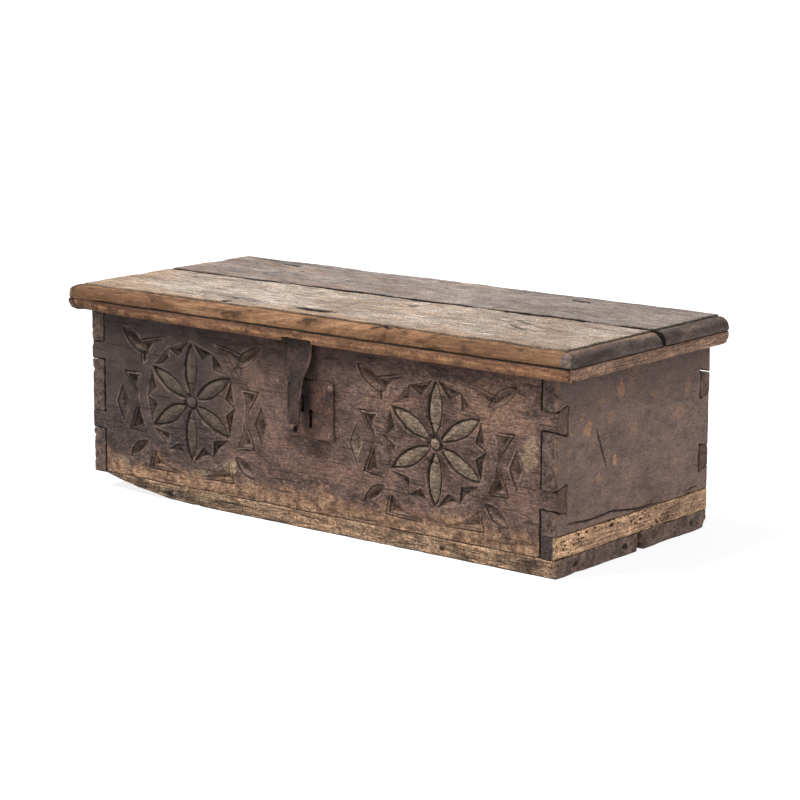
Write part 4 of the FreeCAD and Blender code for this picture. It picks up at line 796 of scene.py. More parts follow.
# Corner leaves: slope in degrees, root, tip and half width.
LEAVES = ((35, 74 * MM, 117 * MM, 7.2 * MM), (-38.5, 78 * MM, 111 * MM, 6.6 * MM))
# Three corners and the radius of the ring they stop at, in millimetres, on the right side.
BROW = ((68, 34.5), (72, 56), (33, 64.5), 72)
CHEEK = ((71, 21.5), (93, 21.5), (75, -6.5), 74.5)
JAW = ((61, -41.5), (87, -38.5), (74.5, -8.5), 74)
CHIN = ((54.5, -55), (59, -77), (12, -79), 77)
DIAMOND_SHIFT = 96.5 * MM
DIAMOND_DROP = 12 * MM
DIAMOND_HALF = 9 * MM
DIAMOND_RISE = 20.5 * MM
CORNER_SETBACK = 2.3 * MM
LINE_HALF = 1.2 * MM
LINE_DEPTH = 1.6 * MM


def leaf_inside(across, up, root, tip, half):
    """Distance inside a leaf between two arcs, pointing up from root to tip."""
    arc = ((tip - root) ** 2 / 4 + half ** 2) / (2 * half)
    return arc - np.hypot(np.abs(across) + arc - half, up - (root + tip) / 2)


def side_of(x, z, start, end, within_point):
    """Distance from a line, positive on the side where within_point lies."""
    (ax, az), (bx, bz) = start, end

    def signed(px, pz):
        return ((px - ax) * (bz - az) - (pz - az) * (bx - ax)) / math.hypot(bx - ax, bz - az)
    return np.sign(signed(*within_point)) * signed(x, z)


def turned(x, z, degrees):
    """Coordinates across and up a direction that leans to the right by some degrees."""
    angle = math.radians(degrees)
    return (x * math.cos(angle) - z * math.sin(angle), x * math.sin(angle) + z * math.cos(angle))


def petal_relief(x, z):
    """Six petals, each a ridge in a V-shaped outline; also the distance inside them."""
    depth = np.zeros_like(x)
    nearest = np.full_like(x, -1.0)
    for number in range(6):
        across, up = turned(x, z, 60 * number)
        inside = leaf_inside(across, up, PETAL_ROOT, PETAL_TIP, PETAL_HALF)
        wall = np.clip((inside + 1.3 * MM) / (1.9 * MM), 0, 1)
        back = np.clip((inside - 0.6 * MM) / (PETAL_HALF - 1.2 * MM), 0, 1)
        sunk = wall * (2.5 * MM - 2.3 * MM * back ** 0.55)
        if number % 3 == 0:
            sunk += wall * groove(np.abs(up - BEAD), 1.5 * MM, 1.1 * MM)
        depth = np.maximum(depth, sunk)
        nearest = np.maximum(nearest, inside)
    return depth, nearest


def button_relief(x, z, depth, nearest):
    """A round button over the roots of the petals."""
    radius = np.hypot(x, z)
    rim = groove(np.abs(radius - BUTTON - 1.0 * MM), 2.2 * MM, 2.6 * MM)
    dome = 1.6 * MM * np.clip(radius / BUTTON, 0, 1) ** 3
    over = radius < BUTTON + 1.0 * MM
    depth = np.where(over, np.maximum(dome, rim), np.maximum(depth, rim))
    return depth, np.where(radius < BUTTON + 3 * MM, BUTTON - radius, nearest)


def pit(sides):
    """A pit with one sloping facet per side: pairs of the distance inside and the slope."""
    depth = np.minimum.reduce([distance * slope for distance, slope in sides])
    nearest = np.minimum.reduce([distance for distance, slope in sides])
    return np.maximum(depth, 0), nearest


def chips(x, z):
    """Twelve three-cornered chips round the petals, inside the ring."""
    for number in range(6):
        for hand in (-1, 1):
            corners = []
            for reach, turn in CHIP_CORNERS:
                angle = math.radians(60 * number + 30 + hand * turn)
                corners.append((reach * MM * math.sin(angle), reach * MM * math.cos(angle)))
            tip, inner, outer = corners
            middle = np.mean(corners, axis=0)
            behind = side_of(x, z, tip, outer, middle) + 1.2 * MM
            yield ((side_of(x, z, tip, inner, middle), 1.3),
                   (side_of(x, z, inner, outer, middle), 1.15),
                   (np.minimum(behind, INNER_RING - np.hypot(x, z)), 0.75))


def diamond_inside(x, z):
    """Distance inside the diamond beside a rosette."""
    slant = math.hypot(DIAMOND_HALF, DIAMOND_RISE)
    off = np.abs(x - DIAMOND_SHIFT) * DIAMOND_RISE + np.abs(z + DIAMOND_DROP) * DIAMOND_HALF
    return (DIAMOND_HALF * DIAMOND_RISE - off) / slant


def corner_cuts():
    """Root, tip and point of each edged corner, and its ring, in metres."""
    for *corners, ring in (BROW, CHEEK, JAW, CHIN):
        yield *[(a * MM, b * MM) for a, b in corners], ring * MM


def corner_pits(x, z):
    """The cuts outside the ring on one side: leaves, edged corners and a diamond."""
    for slope, root, tip, half in LEAVES:
        yield (leaf_inside(*turned(x, z, 90 - slope), root, tip, half), 0.75),
    for root, tip, point, ring in corner_cuts():
        middle = np.mean((root, tip, point), axis=0)
        chord = side_of(x, z, root, point, middle) + 2 * MM
        yield ((side_of(x, z, root, tip, middle) - CORNER_SETBACK, 1.2),
               (side_of(x, z, tip, point, middle) - CORNER_SETBACK, 1.2),
               (np.minimum(np.hypot(x, z) - ring, chord), 0.55))
    yield (diamond_inside(x, z), 0.6),


def corner_lines(x, z):
    """The thin cuts that edge the corners: along both outer sides of each."""
    depth = np.zeros_like(x)
    for root, tip, point, _ in corner_cuts():
        for end in (root, point):
            distance, share = along(x, z, tip, end)
            line = (1 - 0.7 * share ** 3) * groove(distance, LINE_HALF, LINE_DEPTH)
            depth = np.maximum(depth, line)
    return depth * (np.hypot(x, z) > 60 * MM)


def carving(x, z):
    """Depth of the carving over the front, its raised parts, its rubbed edges, and dirt and
    painted shade in its cuts.
    """
    depth, raised, rims, deep = (np.zeros_like(x) for _ in range(4))
    for number, middle in enumerate(ROSETTES):
        diamond_side, diamond_share, ring_share = ((1, 0.4, 0.1), (-1, 0.85, 0.4))[number]
        px, pz = x - middle, z - ROSETTE_HEIGHT
        near = (np.abs(px) < ROSETTE_REACH[0]) & (np.abs(pz) < ROSETTE_REACH[1])
        spot = joined(px[near], float(number), pz[near])
        ax = px[near] + 0.8 * MM * noise(spot, 17, 11, 2)
        az = pz[near] + 0.8 * MM * noise(spot, 17, 12, 2)
        found, nearest = button_relief(ax, az, *petal_relief(ax, az))
        high = smooth(nearest, 1.2 * MM, 2.0 * MM)
        high *= 1 - 0.25 * smooth(nearest, 2.4 * MM, 4.5 * MM)
        # Dirt and painted shade in the outline round the petals.
        low = smooth(np.abs(nearest - 0.5 * MM), 1.5 * MM, 0.4 * MM)
        for sides in (*chips(ax, az), *corner_pits(np.abs(ax), az)):
            pitted, inside = pit(sides)
            found = np.maximum(found, pitted)
            nearest = np.maximum(nearest, inside)
            steep = np.minimum.reduce([reach for reach, slope in sides if slope > 1] or [inside])
            # Dirt and painted shade: dark lines along the steep walls and darker pit bottoms.
            steep_wall_shade = smooth(np.abs(steep - 0.4 * MM), 1.2 * MM, 0.3 * MM) * (inside > -0.4 * MM)
            bottom = smooth(pitted, 2 * MM, 4 * MM)
            low = np.maximum.reduce([low, 0.9 * steep_wall_shade, 0.4 * bottom])
        pale = smooth(diamond_inside(diamond_side * ax, az), 0, 1.5 * MM) * diamond_share
        low = low * (1 - pale)
        high = np.maximum(high, pale)
        thin = corner_lines(np.abs(ax), az)
        found = np.maximum(found, thin) * (1.12 + 0.3 * noise(spot, 22, 13))
        found += 0.4 * MM * high * noise(spot, 4, 14, 2)
        found += 0.3 * MM * smooth(found, 0, 1 * MM) * noise(spot, 5, 15, 2)
        rim = np.maximum(0, 1 - np.abs(nearest + 0.9 * MM) / (1.3 * MM)) * (thin < 0.3 * MM)
        facets = 0.6 * smooth(nearest, 1.1 * MM, 2.2 * MM) * (high < 0.1)
        radius = np.hypot(ax, az)
        ring = smooth(radius, 61 * MM, 63 * MM) * smooth(radius, 73 * MM, 70 * MM)
        ring = ring_share * ring * (found < 0.2 * MM)
        depth[near] = np.maximum(found, 0)
        raised[near] = high
        rims[near] = np.maximum.reduce([rim, facets, ring])
        deep[near] = np.maximum(low, smooth(thin, 0.6 * MM, 1.5 * MM))
    return depth, raised, rims, deep


# ---- the body -----------------------------------------------------------------------------

RIGHT_LOST = ((SIDE_HIGH.y - PANEL + TAIL_PLAY, FAR, PINS[1][1], PINS[1][1] + 0.9 * MM),)
RIGHT_CUTS = (
    ((-68, 137), (-58, 113), (-47, 89)),
    ((-118, 50), (-72, 46.5), (-40, 48), (9, 42), (52, 41.5)),
    ((86, 44), (113, 45.5)),
)
# The base is worn away from below: where it starts, over what length, and how far at most.
LOSS_START = -150 * MM
LOSS_LENGTH = 137 * MM
LOSS_RISE = 18 * MM
LOSS_MOST = 16.5 * MM


def flared(points):
    """Shift the grid near the pins: they are higher at the inner face than at the outer one."""
    moved = points.copy()
    depth = np.clip((abs(FRONT) - np.abs(points[:, 1])) / PANEL, 0, None)
    share = np.where(depth < 1, depth, np.clip(2 - depth, 0, 1))
    for height in PIN_HEIGHTS:
        up = points[:, 2] - height
        reach = (PIN_ROOT - PIN_FACE) / 2
        near = np.clip(1.6 - np.abs(np.abs(up) - PIN_FACE / 2) / (PIN_FACE / 2), 0, 1)
        moved[:, 2] += np.sign(up) * reach * share * near * (np.abs(up) > 1e-6)
    return moved


def joint_dirt(flat, joint, seed):
    """Dirt in the open joint between two boards, a little ragged."""
    width = (1.1 + 0.9 * noise(flat, 9, seed + 40, 2)) * MM
    return smooth(joint, width + 0.5 * MM, width - 0.4 * MM)


def cross_board(name, outer, inner, step, seed, hole=()):
    """Front or back board with pins at its ends; the one with the lock's hole is carved."""
    low, high = box_of(name)
    core = INNER - PIN_PLAY
    us = lines(low.x, high.x, step, -core, core, *hole[:2])
    vs = lines(low.z, high.z, step, *PIN_EDGES, *hole[2:])
    cu, cv = cells(us, vs)
    filled = np.abs(cu) < core
    for bottom, top in PINS:
        filled |= (cv > bottom) & (cv < top)
    u, v, t, quads = slab(us, vs, 5, filled)
    edge = within(u, v, -core, core, low.z, high.z)
    joint = within(u, v, -core, core, -FAR, FAR)
    for pin in PINS:
        edge = np.maximum(edge, within(u, v, low.x, high.x, *pin))
        joint = np.maximum(joint, within(u, v, -FAR, FAR, *pin))
    flat = joined(u, outer, v)
    radius = (1.0 + 2.6 * patches(flat, 10, seed, 2, 0.2, 0.8)) * MM
    rounded = rounding(edge, radius)
    rubbed = smooth(edge, 3.5 * MM, 0.4 * MM)
    sunk = joint_dirt(flat, joint, seed)
    raised = 0 * u
    drop = rounded + 0.35 * MM * patches(flat, (60, LONG, 22), seed + 1, 3, -0.5, 1)
    drop = drop + 1.2 * MM * sunk
    if hole:
        depth, raised, rims, deep = carving(u, v)
        rubbed = np.maximum(0.5 * rubbed, rims)
        # The carving's dirt and painted shade go into the sunk attribute.
        sunk = np.maximum(sunk, 0.85 * deep)
        drop = np.where(within(u, v, *hole) > -1e-7, MORTISE, drop + depth)
    y = through(outer, inner, drop, rounded + 0.2 * MM, t)
    points = wander(flared(joined(u, y, v)), 0.25 * MM, 35, seed + 3)
    make(name, points, quads, on_face(t, rubbed=rubbed, sunk=sunk, raised=raised))


def end_board(name, seed, rough, cuts=(), lost=()):
    """End board with tails that flare to the front and back; cuts are its cracks.

    rough is how much rounder its worn edges get, in millimetres; lost lists broken-out places
    along them, each a rectangle in y and z.
    """
    low, high = box_of(name)
    outer, inner = faces(low.x, high.x)
    reach = abs(low.y) - PANEL + TAIL_PLAY
    notches = [(*side, *pin) for pin in PINS for side in ((-FAR, -reach), (reach, FAR))]
    us = lines(low.y, high.y, 1.3 * MM, -reach, reach, *[a for gap in lost for a in gap[:2]])
    vs = lines(low.z, high.z, 1.3 * MM, *PIN_EDGES, *[a for gap in lost for a in gap[2:]])
    cu, cv = cells(us, vs)
    filled = np.all([within(cu, cv, *gap) < 0 for gap in (*notches, *lost)], axis=0)
    u, v, t, quads = slab(us, vs, 6, filled)
    joint = np.minimum.reduce([outside(u, v, *notch) for notch in notches])
    edge = np.minimum.reduce([within(u, v, low.y, high.y, low.z, high.z), joint,
                              *[outside(u, v, *gap) for gap in lost]])
    flat = joined(outer, u, v)
    radius = (1.0 + rough * patches(flat, 10, seed, 2, 0.15, 0.8)) * MM
    sunk = joint_dirt(flat, joint, seed)
    drop = rounding(edge, radius) + 1.2 * MM * sunk
    drop += 0.5 * MM * patches(flat, (LONG, 50, 16), seed + 1, 3, -0.4, 1)
    drop, sunk = cracked(drop, sunk, u, v, cuts, 1.3, 2.2, 1.2)
    x = through(outer, inner, drop, rounding(edge, 0.8 * MM), t)
    points = wander(flared(joined(x, u, v)), 0.45 * MM, 22, seed + 3)
    make(name, points, quads, on_face(t, rubbed=smooth(edge, 4 * MM, 0.5 * MM), sunk=sunk))


def side_strip():
    """The strip let in along the bottom of the right end, eaten by worm."""
    low, high = box_of("side_strip")
    u, v, t, quads = slab(lines(low.y, high.y, 0.9 * MM), lines(low.z, high.z, 0.7 * MM), 6)
    edge = within(u, v, low.y, high.y, low.z, high.z)
    flat = joined(high.x, u, v)
    radius = (0.9 + 2.2 * patches(flat, 14, 71, 3, 0.0, 0.9)) * MM
    worm = patches(flat, (LONG, 4.5, 3), 72, 2, 0.34, 0.60)
    worm *= patches(flat, (LONG, 60, 30), 73, 2, -0.2, 0.3)
    drop = rounding(edge, radius) + 2.4 * MM * worm
    drop += 0.4 * MM * patches(flat, (LONG, 40, 4), 74, 2, -0.3, 0.9)
    x = through(high.x, low.x, drop, rounding(edge, 0.6 * MM), t)
    make("side_strip", wander(joined(x, u, v), 0.35 * MM, 25, 75), quads,
         on_face(t, rubbed=smooth(edge, 5 * MM, 0.5 * MM), sunk=worm))


def base_loss(x, y):
    """How far the base is worn away from below, towards its front left corner."""
    worn = LOSS_RISE * np.clip((LOSS_START - x) / LOSS_LENGTH, 0, 1) ** 2
    return np.minimum(worn, LOSS_MOST) * smooth(-y, 0.02, 0.13)


def base_plank(name, seed):
    """A base plank; the front one has lost its lower left corner."""
    low, high = box_of(name)
    u, v, t, quads = slab(lines(low.x, high.x, 2 * MM), lines(low.z, high.z, 1.2 * MM), 13)
    outer, inner = faces(low.y, high.y)
    edge = within(u, v, low.x, high.x, low.z, high.z)
    flat = joined(u, outer, v)
    radius = (1.2 + 2.6 * patches(flat, (40, LONG, 9), seed, 3, 0, 1)) * MM
    drop = rounding(edge, radius)
    drop += 0.8 * MM * patches(flat, (70, LONG, 6), seed + 1, 3, -0.3, 1)
    back = rounding(edge, 1.5 * MM)
    back += 1.6 * MM + 1.2 * MM * noise(flat, (9, LONG, 7), seed + 7, 2)
    back += 1.3 * MM * smooth(u, 0.27, 0.295)
    points = joined(u, through(outer, inner, drop, np.maximum(back, 0), t), v)
    if outer < 0:
        lost = base_loss(u, points[:, 1])
        lost += 1.2 * MM * patches(flat, (45, LONG, LONG), seed + 5, 3, 0, 1) * (lost > 0)
        rise = (v - low.z) / (high.z - low.z)
        points[:, 2] += np.minimum(lost, LOSS_MOST + 0.5 * MM) * (1 - rise)
    inward = 2.5 * MM * smooth(np.abs(u), 0.29, 0.30)
    inward *= patches(points, (LONG, 30, 12), seed + 6, 3, -0.2, 1)
    points[:, 0] -= np.sign(u) * inward
    make(name, wander(points, 0.4 * MM, 30, seed + 3), quads,
         on_face(t, rubbed=smooth(edge, 5 * MM, 0.5 * MM)))


# ---- the lid ------------------------------------------------------------------------------

LID_CRACKS = (
    ((85, -139), (97, -131), (104, -126)),
    ((97, -131), (112, -136)),
    ((177, -28), (195, -36), (212, -42)),
    ((185, -50), (205, -60), (222, -62)),
    ((-70, -6), (-52, -12), (-40, -10)),
    ((30, -18), (48, -24), (60, -22)),
    ((62, -8), (78, -12)),
    ((150, -34), (166, -38), (188, -41)),
)
LID_SLITS = (
    ((-40, -105), (-10, -107), (16, -105.5)),
    ((-122, -121), (-106, -123)),
)


def joint_at(x):
    """Middle of the joint between the lid boards at a place along it."""
    share = (x - LID_LOW.x) / (LID_HIGH.x - LID_LOW.x)
    return JOINT_LEFT + share * (JOINT_RIGHT - JOINT_LEFT)


def nosing(edge):
    """Sunk step and rounded nose along a moulded edge."""
    step = QUIRK_STEP * smooth(edge, QUIRK + 0.5 * MM, QUIRK - 0.3 * MM)
    quirk = groove(np.abs(edge - QUIRK + 0.2 * MM), 1.1 * MM, 1.3 * MM)
    return step + quirk * (edge < QUIRK + 1 * MM) + rounding(edge, NOSE) * 0.98


def lid_board(name, seed, front):
    """A lid board: moulded along its outer edge and ends, ragged along the joint."""
    low, high = box_of(name)
    us = lines(low.x, high.x, 1.1 * MM, QUIRK - high.x, high.x - QUIRK)
    u, v, t, quads = slab(us, lines(0, 1, 1.1 * MM / (high.y - low.y)), 9)
    gap = JOINT_GAP / 2 + 0.5 * MM * noise(joined(u, 0, 0), 18, seed + 8, 3)
    if front:
        gap += 0.4 * MM * smooth(u, 0.308, 0.320)
        start, end = low.y, joint_at(u) - gap
    else:
        start, end = joint_at(u) + gap, high.y
    y = start + v * (end - start)
    from_joint, from_edge = (end - y, y - start) if front else (y - start, end - y)
    from_end = np.minimum(u - low.x, high.x - u)
    if front:
        moulded, plain = np.minimum(from_edge, from_end), from_joint
    else:
        moulded, plain = from_end, np.minimum(from_joint, from_edge)
    flat = joined(u, y, high.z)
    bent = moulded + 0.35 * MM * noise(flat, 30, seed, 2)
    drop = nosing(bent)
    if front:
        drop += 3.0 * MM * smooth(from_joint, 6.5 * MM, 1.0 * MM)
    radius = (0.8 + 1.6 * patches(flat, 20, seed + 1, 3, 0, 0.9)) * MM
    drop += rounding(plain, radius)
    drop += 0.35 * MM * patches(flat, (26, 2.6, LONG), seed + 2, 3, -0.3, 0.9)
    drop += 0.9 * MM * patches(flat, (90, 30, LONG), seed + 3, 2, -0.2, 0.9)
    gouges = patches(flat, (16, 5, LONG), seed + 4, 2, 0.55, 0.85)
    drop += 1.0 * MM * gouges
    sunk = 0.5 * gouges
    if front:
        drop, sunk = cracked(drop, sunk, u, y, LID_CRACKS, 3.8, 1.9, 1.5)
        drop, sunk = cracked(drop, sunk, u, y, LID_SLITS, 8.0, 3.2, 1.2)
    # Painted shade in the quirk groove along the moulded edge.
    sunk = np.maximum(sunk, 0.9 * groove(np.abs(bent - QUIRK + 0.2 * MM), 2.0 * MM, 1.0))
    under = rounding(np.minimum(moulded, plain), 1.3 * MM)
    under *= 1 - 0.8 * smooth(u, -0.26, -0.305)
    z = low.z + under + t * (high.z - low.z - under - drop)
    if front:
        y = y + rounding(u - low.x, 4 * MM) * smooth(from_edge, 20 * MM, 0)
    top = t > 0.99
    # Painted shade on the board's edge at the joint between the lid boards.
    wall = from_joint < (2.4 if front else 0.1) * MM
    rubbed = smooth(moulded, 4 * MM, 9 * MM) * smooth(moulded, 12 * MM, 9 * MM)
    make(name, wander(joined(u, y, z), 0.3 * MM, 40, seed + 5), quads,
         {"rubbed": rubbed * top, "sunk": np.maximum(sunk * top, wall)})


def front_moulding():
    """The strip nailed under the front edge of the lid, cut away behind the hasp."""
    low, high = box_of("front_moulding")
    wide = high.y - low.y
    u, v, t, quads = slab(lines(low.x, high.x, 1.3 * MM, *NOTCH), lines(0, 1, 0.09), 11)
    notch = smooth(u, NOTCH[0] - 0.5 * MM, NOTCH[0] + 2.5 * MM)
    notch *= smooth(u, NOTCH[1] + 0.5 * MM, NOTCH[1] - 2.5 * MM)
    x = np.clip(u, low.x + v * wide, high.x - v * wide)
    y = low.y + v * (wide * (1 - notch) + NOTCH_WALL * notch)
    edge, from_left = y - low.y, u - low.x
    left_end = smooth(x, -0.25, -0.305)
    lift = notch * (NOTCH_LIP + (NOTCH_BACK - NOTCH_LIP) * v)
    lift += 1.0 * MM * smooth(u, -0.19, low.x) + rounding(from_left, 11 * MM) * 0.85
    under = rounding(edge, (5 + 5 * left_end) * MM) * (1 - 0.6 * notch) + lift
    over = rounding(edge, 1.1 * MM) * (1 - left_end)
    z = low.z + under + t * (high.z - low.z - under - over)
    dent = 0.5 * MM * patches(joined(x, y, z), (35, 8, 5), 91, 3, -0.2, 1)
    corner = rounding(high.x - u, 8 * MM) * smooth(v, 0.6, 0.0)
    corner += rounding(from_left, 5 * MM) * smooth(v, 0.8, 0.0)
    y = y + dent * smooth(y, low.y + 5 * MM, low.y) + corner
    x = x + 5 * MM * smooth(t, 0.75, 0) * smooth(u, low.x + 14 * MM, low.x)
    mitre = smooth(high.x - u, wide * v + 1.6 * MM, wide * v + 0.2 * MM)
    # Painted shade along the top of the moulding under the lid's nose, and in the notch behind
    # the hasp.
    seam = smooth(t, 0.95, 1.0) * (1 - left_end)
    seam_and_notch_shade = np.maximum(seam, notch * smooth(v, 0.1, 0.6))
    make("front_moulding", wander(joined(x, y, z), 0.35 * MM, 30, 92), quads,
         {"rubbed": smooth(v, 0.35, 0.0) * smooth(t, 0.55, 0.2) * (1 - seam_and_notch_shade),
          "sunk": np.maximum(seam_and_notch_shade, mitre * (v > 0.05))})


def cleat(name, seed):
    """The strip under one end of the lid, mitred to the moulding."""
    low, high = box_of(name)
    outer, inner = faces(low.x, high.x)
    u, v, t, quads = slab(lines(low.y, high.y, 1.5 * MM), lines(0, 1, 0.09), 11)
    y = np.maximum(u, low.y + v * abs(outer - inner))
    x = outer + v * (inner - outer)
    edge = np.abs(x - outer)
    tip = rounding(high.y - y, 4 * MM) * 0.7
    under = rounding(edge, (5 if outer > 0 else 9) * MM) + tip
    z = low.z + under + t * (high.z - low.z - under - rounding(edge, 1.2 * MM))
    make(name, wander(joined(x, y, z), 0.4 * MM, 24, seed), quads,
         {"rubbed": smooth(v, 0.35, 0.0) * smooth(t, 0.5, 0.2)})


# ---- iron ---------------------------------------------------------------------------------

HASP_THICK = 2 * MM
HASP_LENGTH = 96 * MM
HASP_JOG = 0.8 * MM
# Half widths of the strap: millimetres below the pin, and half width there.
HASP_STATIONS = ((0, 15.5), (24, 15.6), (33, 14.0), (42, 10.2), (52, 7.0), (66, 6.4), (96, 5.6),
                 (120, 5.3))
KNUCKLE = 2.6 * MM
KNUCKLE_LENGTH = 3.9 * MM
KNUCKLE_GAP = 6.3 / 15.5    # the gap between the knuckles, as a share of the strap's width
CURL = 3.2 * MM


def hasp_path():
    """Centre line of the strap: round the pin, down, and forward into the curled tip.

    Each row is y and z from the pivot, the strap's normal, and the length below the pin.
    """
    rows = []
    for angle in np.radians(np.linspace(285, 0, 20)):
        rows.append((KNUCKLE * math.cos(angle), KNUCKLE * math.sin(angle),
                     math.cos(angle), math.sin(angle), -KNUCKLE * angle))
    for below in np.arange(1.5, 96, 1.5) * MM:
        back = HASP_JOG * float(smooth(np.array(below), 27 * MM, 42 * MM))
        rows.append((KNUCKLE - back, -below, 1.0, 0.0, below))
    middle = KNUCKLE - HASP_JOG - CURL
    for angle in np.radians(np.linspace(0, -300, 24)):
        rows.append((middle + CURL * math.cos(angle), -HASP_LENGTH + CURL * math.sin(angle),
                     math.cos(angle), math.sin(angle), HASP_LENGTH - CURL * angle))
    return np.array(rows)


def hasp():
    """The bent strap of the hasp, hand forged: wavy edges, ogee shoulders, curled tip."""
    path = hasp_path()
    rows = np.arange(len(path), dtype=float)
    vs = lines(-1, 1, 0.09, -KNUCKLE_GAP, KNUCKLE_GAP)
    cu, cv = cells(rows, vs)
    below = np.interp(cu, rows, path[:, 4])
    u, v, t, quads = slab(rows, vs, 4, (below >= KNUCKLE_LENGTH) | (np.abs(cv) >= KNUCKLE_GAP))
    y, z, ny, nz, below = (np.interp(u, rows, column) for column in path.T)
    stations = np.array(HASP_STATIONS) * MM
    half = np.interp(below, stations[:, 0], stations[:, 1])
    wave = 0.45 * MM * noise(joined(np.sign(v), 0, below), (LONG, LONG, 16), 31, 2)
    across = v * (half + wave * smooth(below, 6 * MM, 20 * MM))
    thin = rounding(half - np.abs(across), 0.7 * MM)
    hammer = 0.22 * MM * noise(joined(across, 0, below), 11, 32, 2)
    hammer *= smooth(below, 6 * MM, 16 * MM) * smooth(below, 94 * MM, 80 * MM)
    place = (t - 0.5) * (HASP_THICK - 2 * thin) + hammer
    y, z = y + ny * place, z + nz * place
    lean, rise = math.sin(-HASP_LEAN), math.cos(-HASP_LEAN)
    points = joined(PIVOT.x + across, PIVOT.y + y * rise - z * lean,
                    PIVOT.z + y * lean + z * rise)
    # Painted highlight along the strap's right edge, and worn iron with a painted highlight on
    # the curled tip.
    highlight_and_wear = smooth(v, 0.80, 0.97) + 0.6 * smooth(below, 97 * MM, 106 * MM)
    make("hasp_strap", points, quads, {"rubbed": np.clip(highlight_and_wear, 0, 1)})


def plate_openings(x, z):
    """Distance outside the plate's openings: the keyhole, and the slot for the staple."""
    px, pz = x - KEYHOLE.x, z - KEYHOLE.z
    widen = 1.8 * MM + 0.4 * MM * smooth(pz, -6 * MM, -15 * MM)
    bit = np.maximum(np.abs(px) - widen, np.maximum(pz, -pz - 16 * MM))
    slot = np.maximum(np.abs(x - PIVOT.x) - 2.3 * MM, np.abs(z - 127 * MM) - 8.8 * MM)
    return np.minimum.reduce([np.hypot(px, pz) - 2.9 * MM, bit, slot])


def snapped(u, v, distance, near):
    """Move the points of a grid that lie near an outline onto it."""
    small = 0.02 * MM
    for _ in range(3):
        here = distance(u, v)
        gu = (distance(u + small, v) - here) / small
        gv = (distance(u, v + small) - here) / small
        size = np.maximum(gu ** 2 + gv ** 2, 0.25)
        move = np.abs(here) < near
        u = np.where(move, u - here * gu / size, u)
        v = np.where(move, v - here * gv / size, v)
    return u, v


def lock_plate():
    """The lock's front plate, slightly dished, with keyhole and staple slot."""
    low, high = box_of("lock_face")
    step = 0.55 * MM
    us, vs = lines(low.x, high.x, step), lines(low.z, high.z, step)
    u, v, t, quads = slab(us, vs, 3, plate_openings(*cells(us, vs)) > 0)
    inner = np.abs(plate_openings(u, v))
    u, v = snapped(u, v, plate_openings, 0.5 * step)
    edge = within(u, v, low.x, high.x, low.z, high.z)
    flat = joined(u, 0, v)
    drop = rounding(edge, 0.8 * MM) + 0.35 * MM * patches(flat, 14, 41, 3, -0.3, 1)
    drop += 0.4 * MM * smooth(inner, 0.8 * MM, 0)
    y = low.y + drop + t * (high.y - low.y - drop)
    ragged = 0.5 * MM * smooth(edge, 3 * MM, 0)
    x = u - np.sign(u - 4 * MM) * ragged * patches(flat, 9, 42, 2, 0, 1)
    z = v - np.sign(v - 122 * MM) * ragged * patches(flat, 9, 43, 2, 0, 1)
    make("lock_face", joined(x, y, z), quads, {})


# Rings of a nail from the head's middle to the shank's tip: radius and rise. Those of the head
# are shares of its size; those of the shank are a share of the shank and a share of the size.
HEAD_RINGS = ((0.12, 0.55), (0.45, 0.50), (0.80, 0.28), (1.0, 0.02), (0.92, -0.04))
SHANK_RINGS = ((1.0, -0.06), (0.6, -2.2), (0.15, -4.4))


def rose_nail(middle, towards, size, shank, seed):
    """A hand-forged nail: a head with five hammered facets, standing on a tapered shank.

    Returns points and quads; middle is the centre of the head's base on the surface.
    """
    rings = [*HEAD_RINGS, *((shank / size * share, drop) for share, drop in SHANK_RINGS)]
    turns = np.radians(np.arange(0, 360, 30))
    around = np.arange(len(turns))
    rng = np.random.default_rng(seed)
    facets = 1 - 0.10 * np.abs(np.sin(2.5 * turns + rng.uniform(0, 3)))
    ahead = np.array(towards, float)
    aside = np.array((0.0, 0.0, 1.0)) if abs(ahead[2]) < 0.5 else np.array((1.0, 0.0, 0.0))
    across = np.cross(ahead, aside)
    points = []
    for number, (reach, rise) in enumerate(rings):
        wide = reach * size * (facets if number < len(HEAD_RINGS) else np.ones_like(facets))
        ring = np.outer(np.cos(turns) * wide, aside) + np.outer(np.sin(turns) * wide, across)
        points.append(ring + rise * size * ahead + np.array(middle))
    quads = []
    for number in range(len(rings) - 1):
        ring = around + number * len(turns)
        after = np.roll(around, -1) + number * len(turns)
        quads.append(np.stack([ring, after, after + len(turns), ring + len(turns)], axis=1))
    for cap, number in enumerate((0, len(rings) - 1)):
        pairs = (around + number * len(turns)).reshape(-1, 2)
        centre = np.full(len(pairs), len(rings) * len(turns) + cap)
        fan = np.stack([centre, *pairs.T, np.roll(pairs[:, 0], -1)], axis=1)
        quads.append(fan if cap else fan[:, ::-1])
    caps = [points[0].mean(axis=0), points[-1].mean(axis=0)]
    return np.concatenate([*points, caps]), np.concatenate(quads)


def nails(name, places, towards, size, shank):
    """A set of rose-headed nails in place of a node's plain ones."""
    found, faces_found, count = [], [], 0
    for number, place in enumerate(places):
        points, quads = rose_nail(place, towards, size, shank, number)
        found.append(points)
        faces_found.append(quads + count)
        count += len(points)
    make(name, np.concatenate(found), np.concatenate(faces_found), {}, kept_in=False)


def plate_nails():
    """Nails at the corners of the lock plate."""
    low, high = box_of("lock_face")
    aside, up, proud = 3.8 * MM, 5.5 * MM, 0.3 * MM
    places = [(x, low.y + proud, z) for x in (high.x - aside, low.x + aside)
              for z in (high.z - up, low.z + up)]
    nails("plate_nails", places, (0, -1, 0), 3.6 * MM, 1.1 * MM)


